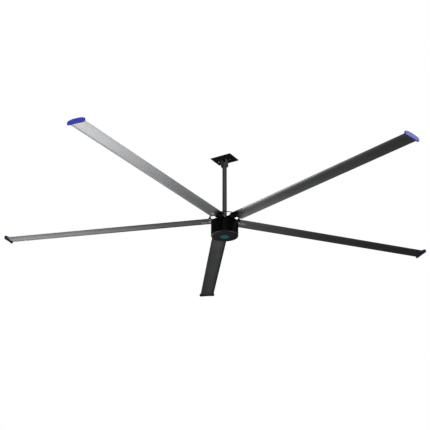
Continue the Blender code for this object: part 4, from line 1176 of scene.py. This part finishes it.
def anodised():
    """Drawn lines along the extrusion, in its colour and its gloss."""
    material, place = new_finish("dark_anodised_aluminium")
    along = add_node(place.tree, "ShaderNodeUVMap", {"uv_map": "along_blade"})
    drawn = add_node(place.tree, "ShaderNodeMapping", None,
                     {"Vector": along, "Scale": (1.2, 420.0, 1.0)})
    lines = noise(drawn, 1.0, 4.0)
    cloud = noise(place, 3.0, 4.0)
    gloss = lines * 0.05 + cloud * 0.03 + (BLADE_ROUGHNESS - 0.04)
    return dress(material, shades(BLADE_COLOUR, 0.10, lines * 0.7 + cloud * 0.3), gloss,
                 {"Normal": relief(lines, 0.05, 0.00005), "Metallic": 1.0,
                  "Specular Tint": (EDGE_TINT, EDGE_TINT, EDGE_TINT, 1.0)})


ANODISED = anodised()


def cell_points(front, rear):
    """The outline of a hollow cell, a wall's thickness inside the skin."""
    shares = [front + (rear - front) * step / CELL_STEPS for step in range(CELL_STEPS + 1)]
    lower = [(-across_at(s), lower_skin(s) + BLADE_WALL) for s in shares]
    upper = [(-across_at(s), upper_skin(s) - BLADE_WALL) for s in shares]
    return lower + upper[::-1]


def map_along_blade(work):
    """Gives a piece in section coordinates a map: metres along the arm, and round the skin."""
    layer = work.loops.layers.uv.new("along_blade")
    for face in work.faces:
        for corner in face.loops:
            spot = corner.vert.co
            corner[layer].uv = (spot.x, spot.y + spot.z)


def lay_along_arm(work, angle):
    """Lays a shape that stands on its section along a blade's arm, with its map."""
    stand = Matrix(((0, 0, 1, 0), (1, 0, 0, 0), (0, 1, 0, 0), (0, 0, 0, 1)))
    bmesh.ops.transform(work, matrix=stand, verts=work.verts)
    map_along_blade(work)
    bmesh.ops.transform(work, matrix=blade_frame(angle), verts=work.verts)


def chord_shares(steps):
    """Places along the chord, close together at the nose and the tail."""
    return [(1 - cos(pi * step / steps)) / 2 for step in range(steps + 1)]


def make_blade(number, angle):
    work = bmesh.new()
    shares = chord_shares(SECTION_STEPS)
    outline = [(-across_at(share), lower_skin(share)) for share in shares]
    outline += [(-across_at(share), upper_skin(share)) for share in shares[:0:-1]]
    edges = loop_edges(work, outline)
    cell = STRUT_HALF + SEAT_GAP
    web = cell + BLADE_WALL
    height = STRUT_THICKNESS + 2 * SEAT_GAP
    edges += rounded_box_edges(work, 2 * cell, height, 0.0005, (0.0, BLADE_CAMBER), 2)
    edges += loop_edges(work, cell_points(FRONT_CELL_SHARE, share_at(web)))
    edges += loop_edges(work, cell_points(share_at(-web), REAR_CELL_SHARE))
    thicken(work, edges, BLADE_TIP, BLADE_TIP - BLADE_ROOT, 0.0)
    lay_along_arm(work, angle)
    finish_node(work, "blade_%d" % number, ANODISED, "rotor")


def on_each_blade(make):
    for index, angle in enumerate(BLADE_ANGLES):
        make(index + 1, angle)


on_each_blade(make_blade)

# Struts
# Flat forged bars, one to each blade: bolted on the drum's platform at one end, with a
# pitched tongue inside the blade's middle cell at the other. Painted with the drum.
STRUT_START = 0.076
STRUT_BEND = 0.194
STRUT_END = 0.450
STRUT_BOLT_RADIUS = 0.105
STRUT_CORNER = 0.008
TONGUE_OVERLAP = 0.012
STRUT_PAINT = coated("black_strut_paint", (0.020, 0.020, 0.021), 0.40, 0.10)


def flat_bar(start, end, half, corner, top, thickness, holes=(), edge_break=0.0012):
    """A bar along the arm, with round corners and drilled holes."""
    bar = bmesh.new()
    edges = rounded_box_edges(bar, end - start, 2 * half, corner, ((start + end) / 2, 0.0))
    for reach, across, radius in holes:
        edges += circle_edges(bar, radius, (reach, across))
    thicken(bar, edges, top, thickness, edge_break)
    return bar


def make_strut(number, angle):
    section = (STRUT_HALF, STRUT_CORNER, STRUT_TOP, STRUT_THICKNESS)
    bar = flat_bar(STRUT_START, STRUT_BEND, *section, [(STRUT_BOLT_RADIUS, 0.0, M12_HOLE)])
    tongue = flat_bar(STRUT_BEND - TONGUE_OVERLAP, STRUT_END, *section)
    work = join(bar, arm_frame(angle), tongue, blade_frame(angle))
    finish_node(work, "strut_%d" % number, STRUT_PAINT, "rotor")


on_each_blade(make_strut)

# Strut bolts and hub clamps
# An M12 bolt holds each strut on the drum, through a wide pressed plate that spreads
# its load. Two smaller bolts pin the plate. A short stiffener is fixed below the strut.
HUB_CLAMP_START = 0.074
HUB_CLAMP_END = 0.181
HUB_CLAMP_HALF = 0.050
HUB_CLAMP_THICKNESS = 0.003
HUB_CLAMP_CORNER = 0.010
HUB_CLAMP_PIN = (0.158, 0.026)
STIFFENER_START = 0.152
STIFFENER_END = 0.194
STIFFENER_HALF = 0.036
STIFFENER_THICKNESS = 0.009
STIFFENER_CORNER = 0.006
M8 = {"flats": 0.013, "head": 0.0053, "shank": 0.004}
BRACKET_PAINT = coated("black_bracket_paint", (0.010, 0.010, 0.0105), 0.40, 0.15)


def fit_pins(name, arm, reach, across, height):
    """Two small bolts, one to each side of an arm."""
    pins = bmesh.new()
    for side in (-1, 1):
        spot = Matrix.Translation((reach, side * across, height))
        absorb(pins, hex_bolt(M8, 0.004, 0.0), arm @ spot)
    finish_piece(pins, name, ZINC, "rotor")


def make_hub_clamp(number, angle):
    arm = arm_frame(angle)
    node = "strut_bolt_%d" % number
    low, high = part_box(node)
    spot = arm @ Matrix.Translation((STRUT_BOLT_RADIUS, 0.0, STRUT_TOP + SEAT_GAP))
    fit_bolt(hex_bolt(M12, high.z - low.z - M12["head"]), spot, node, "rotor")
    top = STRUT_TOP + HUB_CLAMP_THICKNESS
    plate = flat_bar(HUB_CLAMP_START, HUB_CLAMP_END, HUB_CLAMP_HALF, HUB_CLAMP_CORNER, top,
                     HUB_CLAMP_THICKNESS, edge_break=PLATE_EDGE_BREAK)
    stiffener = flat_bar(STIFFENER_START, STIFFENER_END, STIFFENER_HALF, STIFFENER_CORNER,
                         STRUT_TOP - STRUT_THICKNESS - SEAT_GAP, STIFFENER_THICKNESS)
    work = join(plate, arm, stiffener, arm)
    finish_piece(work, "hub_clamp_%d" % number, BRACKET_PAINT, "rotor")
    fit_pins("hub_clamp_bolts_%d" % number, arm, *HUB_CLAMP_PIN, top)


on_each_blade(make_hub_clamp)

# Root clamps and blade bolts
# A pressed steel plate under each blade's root takes the load of the bolts that go up
# through the skin into the strut's tongue.
BLADE_BOLT_RADIUS = 0.272
ROOT_BOLT_RADIUS = 0.224
ROOT_CLAMP_START = 0.199
ROOT_CLAMP_END = 0.305
ROOT_CLAMP_HALF = 0.026
ROOT_CLAMP_THICKNESS = 0.0035
ROOT_CLAMP_CORNER = 0.007
PLATE_GREY = (0.046, 0.046, 0.047)


def pressed_steel():
    """Rolled plate, darkly plated: a faint grain and a cloudy gloss."""
    material, place = new_finish("pressed_plate_steel")
    cloud = noise(place, 40.0, 5.0)
    return dress(material, shades(PLATE_GREY, 0.2, cloud), cloud * 0.15 + 0.3,
                 {"Normal": relief(noise(place, 900.0), 0.25, 0.0001), "Metallic": 1.0,
                  "Specular Tint": DULL_EDGE})


PLATE_STEEL = pressed_steel()


def make_root_clamp(number, angle):
    arm = blade_frame(angle)
    reach = M12["flats"] / sqrt(3)
    shares = [share_at(reach * step) for step in (-1.0, -0.5, 0.0, 0.5, 1.0)]
    head_face = min(lower_skin(share) for share in shares) - SEAT_GAP
    spot = arm @ Matrix.Translation((BLADE_BOLT_RADIUS, 0.0, head_face)) @ HEAD_DOWN
    fit_bolt(hex_bolt(M12, STRUT_TOP - SEAT_GAP - head_face), spot, "blade_bolt_%d" % number, "rotor")
    top = max(lower_skin(share_at(ROOT_CLAMP_HALF * side)) for side in (-1, 1))
    plate = flat_bar(ROOT_CLAMP_START, ROOT_CLAMP_END, ROOT_CLAMP_HALF, ROOT_CLAMP_CORNER, top,
                     top - head_face + ROOT_CLAMP_THICKNESS, edge_break=PLATE_EDGE_BREAK)
    finish_piece(join(plate, arm), "root_clamp_%d" % number, PLATE_STEEL, "rotor")
    spot = arm @ Matrix.Translation((ROOT_BOLT_RADIUS, 0.0, head_face)) @ HEAD_DOWN
    extra = join(hex_bolt(M12, 0.010), spot)
    finish_piece(extra, "root_clamp_bolt_%d" % number, ZINC, "rotor")


on_each_blade(make_root_clamp)

# Tip caps
# Injection moulded plastic end caps, taller than the blade's section. Their blunt
# outline follows its camber.
CAP_INNER = 3.035
CAP_THICKNESS = 0.015
CAP_OUTER = CAP_INNER + CAP_THICKNESS
CAP_LENGTH = 0.238
CAP_HEIGHT = 0.058
CAP_SQUARENESS = 4
CAP_STEPS = 40
CAP_BLUE = (0.022, 0.052, 0.620)
# Painted shade: the darker blue of the caps' rims and backs, as if they lay in shade.
CAP_RIM_SHADE_BLUE = (0.044, 0.047, 0.125)
CAP_POLISH = 0.5
CAP_FACE_EDGE = 0.0015
CAP_ROUND = 0.0022


def polished_cap():
    """Blue plastic, polished on the flat outer face, dull on the rim and back, with painted shade there in
    a darker blue.
    """
    material = moulded("blue_moulded_plastic", CAP_BLUE, 0.40, 0.0)
    reach = split(add_node(material.node_tree, "ShaderNodeUVMap", {"uv_map": "along_blade"}))[0]
    # Painted shade: every face but the flat outer one gets the darker blue.
    rim = reach < CAP_OUTER - CAP_FACE_EDGE
    return recoat(material, CAP_RIM_SHADE_BLUE, 0.12, 40.0, rim,
                  {"Coat Weight": (1.0 - rim) * CAP_POLISH, "Coat Roughness": 0.18})


CAP_PLASTIC = polished_cap()


def cap_points():
    upper = []
    lower = []
    for share in chord_shares(CAP_STEPS):
        across = CAP_LENGTH * (0.5 - share) - BLADE_TRAIL
        middle = camber_height(share)
        fullness = max(0.0, 1 - abs(2 * share - 1) ** CAP_SQUARENESS)
        half = CAP_HEIGHT / 2 * fullness ** (1 / CAP_SQUARENESS)
        upper.append((-across, middle + half))
        lower.append((-across, middle - half))
    return lower[:-1] + upper[:0:-1]


def make_cap(number, angle):
    work = bmesh.new()
    thicken(work, loop_edges(work, cap_points()), CAP_OUTER, CAP_THICKNESS, 0.0)
    outer = [face for face in work.faces if face.calc_center_median().z > CAP_OUTER - CAP_FACE_EDGE]
    border = [edge for edge in work.edges if any(face in outer for face in edge.link_faces)]
    break_edges(work, border, CAP_ROUND, 4)
    lay_along_arm(work, angle)
    finish_node(work, "tip_cap_%d" % number, CAP_PLASTIC, "rotor")


on_each_blade(make_cap)

# Ring posts
# Turned steel posts, one on each strut, that carry the safety ring. Coated black.
POST_RADIUS = 0.0048
POST_STATION = 0.1885
POST_HEAD_RADIUS = 0.0072
POST_HEAD = 0.005
POST_EDGE = 0.001
RING_LOW, RING_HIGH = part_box("safety_ring")


def make_post(number, angle):
    node = "ring_post_%d" % number
    low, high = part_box(node)
    collar = RING_LOW.z - SEAT_GAP
    edge = POST_EDGE
    profile = [(0.0, high.z), (POST_HEAD_RADIUS - edge, high.z), (POST_HEAD_RADIUS, high.z - edge)]
    profile += [(POST_HEAD_RADIUS, high.z - POST_HEAD), (POST_RADIUS, high.z - POST_HEAD)]
    profile += [(POST_RADIUS, collar), (POST_HEAD_RADIUS, collar)]
    profile += [(POST_HEAD_RADIUS, collar - POST_HEAD), (POST_RADIUS, collar - POST_HEAD)]
    profile += [(POST_RADIUS, low.z), (0.0, low.z)]
    spot = Matrix.Translation((*around(POST_STATION, angle), 0.0))
    work = join(turned(profile, 32, closed=False), spot)
    finish_node(work, node, BRACKET_PAINT, "rotor")


on_each_blade(make_post)

# Safety ring
# A flat steel ring above the blade roots that keeps a blade from dropping. A bent
# steel tab at each blade ties the ring down to the root.
RING_RADIUS = 0.200
RING_WIDTH = 0.020
TAB_INNER = 0.2070
TAB_HOOK = 0.186
TAB_THICKNESS = 0.004
TAB_HALF = 0.025
TAB_FOOT = 0.028
TAB_BEND = 0.003
TAB_SINK = 0.001
TAB_PIN = (0.2238, 0.01375)


def make_ring():
    work = bmesh.new()
    edges = circle_edges(work, RING_RADIUS, segments=DRUM_SIDES)
    edges += circle_edges(work, RING_RADIUS - RING_WIDTH, segments=DRUM_SIDES)
    for angle in BLADE_ANGLES:
        edges += circle_edges(work, POST_RADIUS + SEAT_GAP, around(POST_STATION, angle), 24)
    thicken(work, edges, RING_HIGH.z, RING_HIGH.z - RING_LOW.z)
    finish_node(work, "safety_ring", BRACKET_PAINT, "rotor")


def make_tab(number, angle):
    """Flat steel bent twice: from the blade's top up to the ring, and inwards over it."""
    arm = blade_frame(angle)
    foot = upper_skin(share_at(0.0)) - TAB_SINK
    foot_top = foot + TAB_THICKNESS
    toe = TAB_INNER + TAB_FOOT
    back = TAB_INNER + TAB_THICKNESS
    top = RING_HIGH.z - HUB_HEIGHT + TAB_THICKNESS
    outline = [(TAB_INNER, top), (TAB_INNER, foot), (toe, foot), (toe, foot_top), (back, foot_top)]
    outline = softened(outline + [(back, top)], TAB_BEND)
    part = bmesh.new()
    thicken(part, loop_edges(part, outline), TAB_HALF, 2 * TAB_HALF, 0.0006)
    hook = flat_bar(TAB_HOOK, back, TAB_HALF, 0.002, top + SEAT_GAP, TAB_THICKNESS)
    work = join(part, arm @ Matrix.Rotation(pi / 2, 4, "X"), hook, arm_frame(angle))
    finish_piece(work, "ring_tab_%d" % number, BRACKET_PAINT, "rotor")
    fit_pins("ring_tab_bolts_%d" % number, arm, *TAB_PIN, foot_top)


make_ring()
on_each_blade(make_tab)
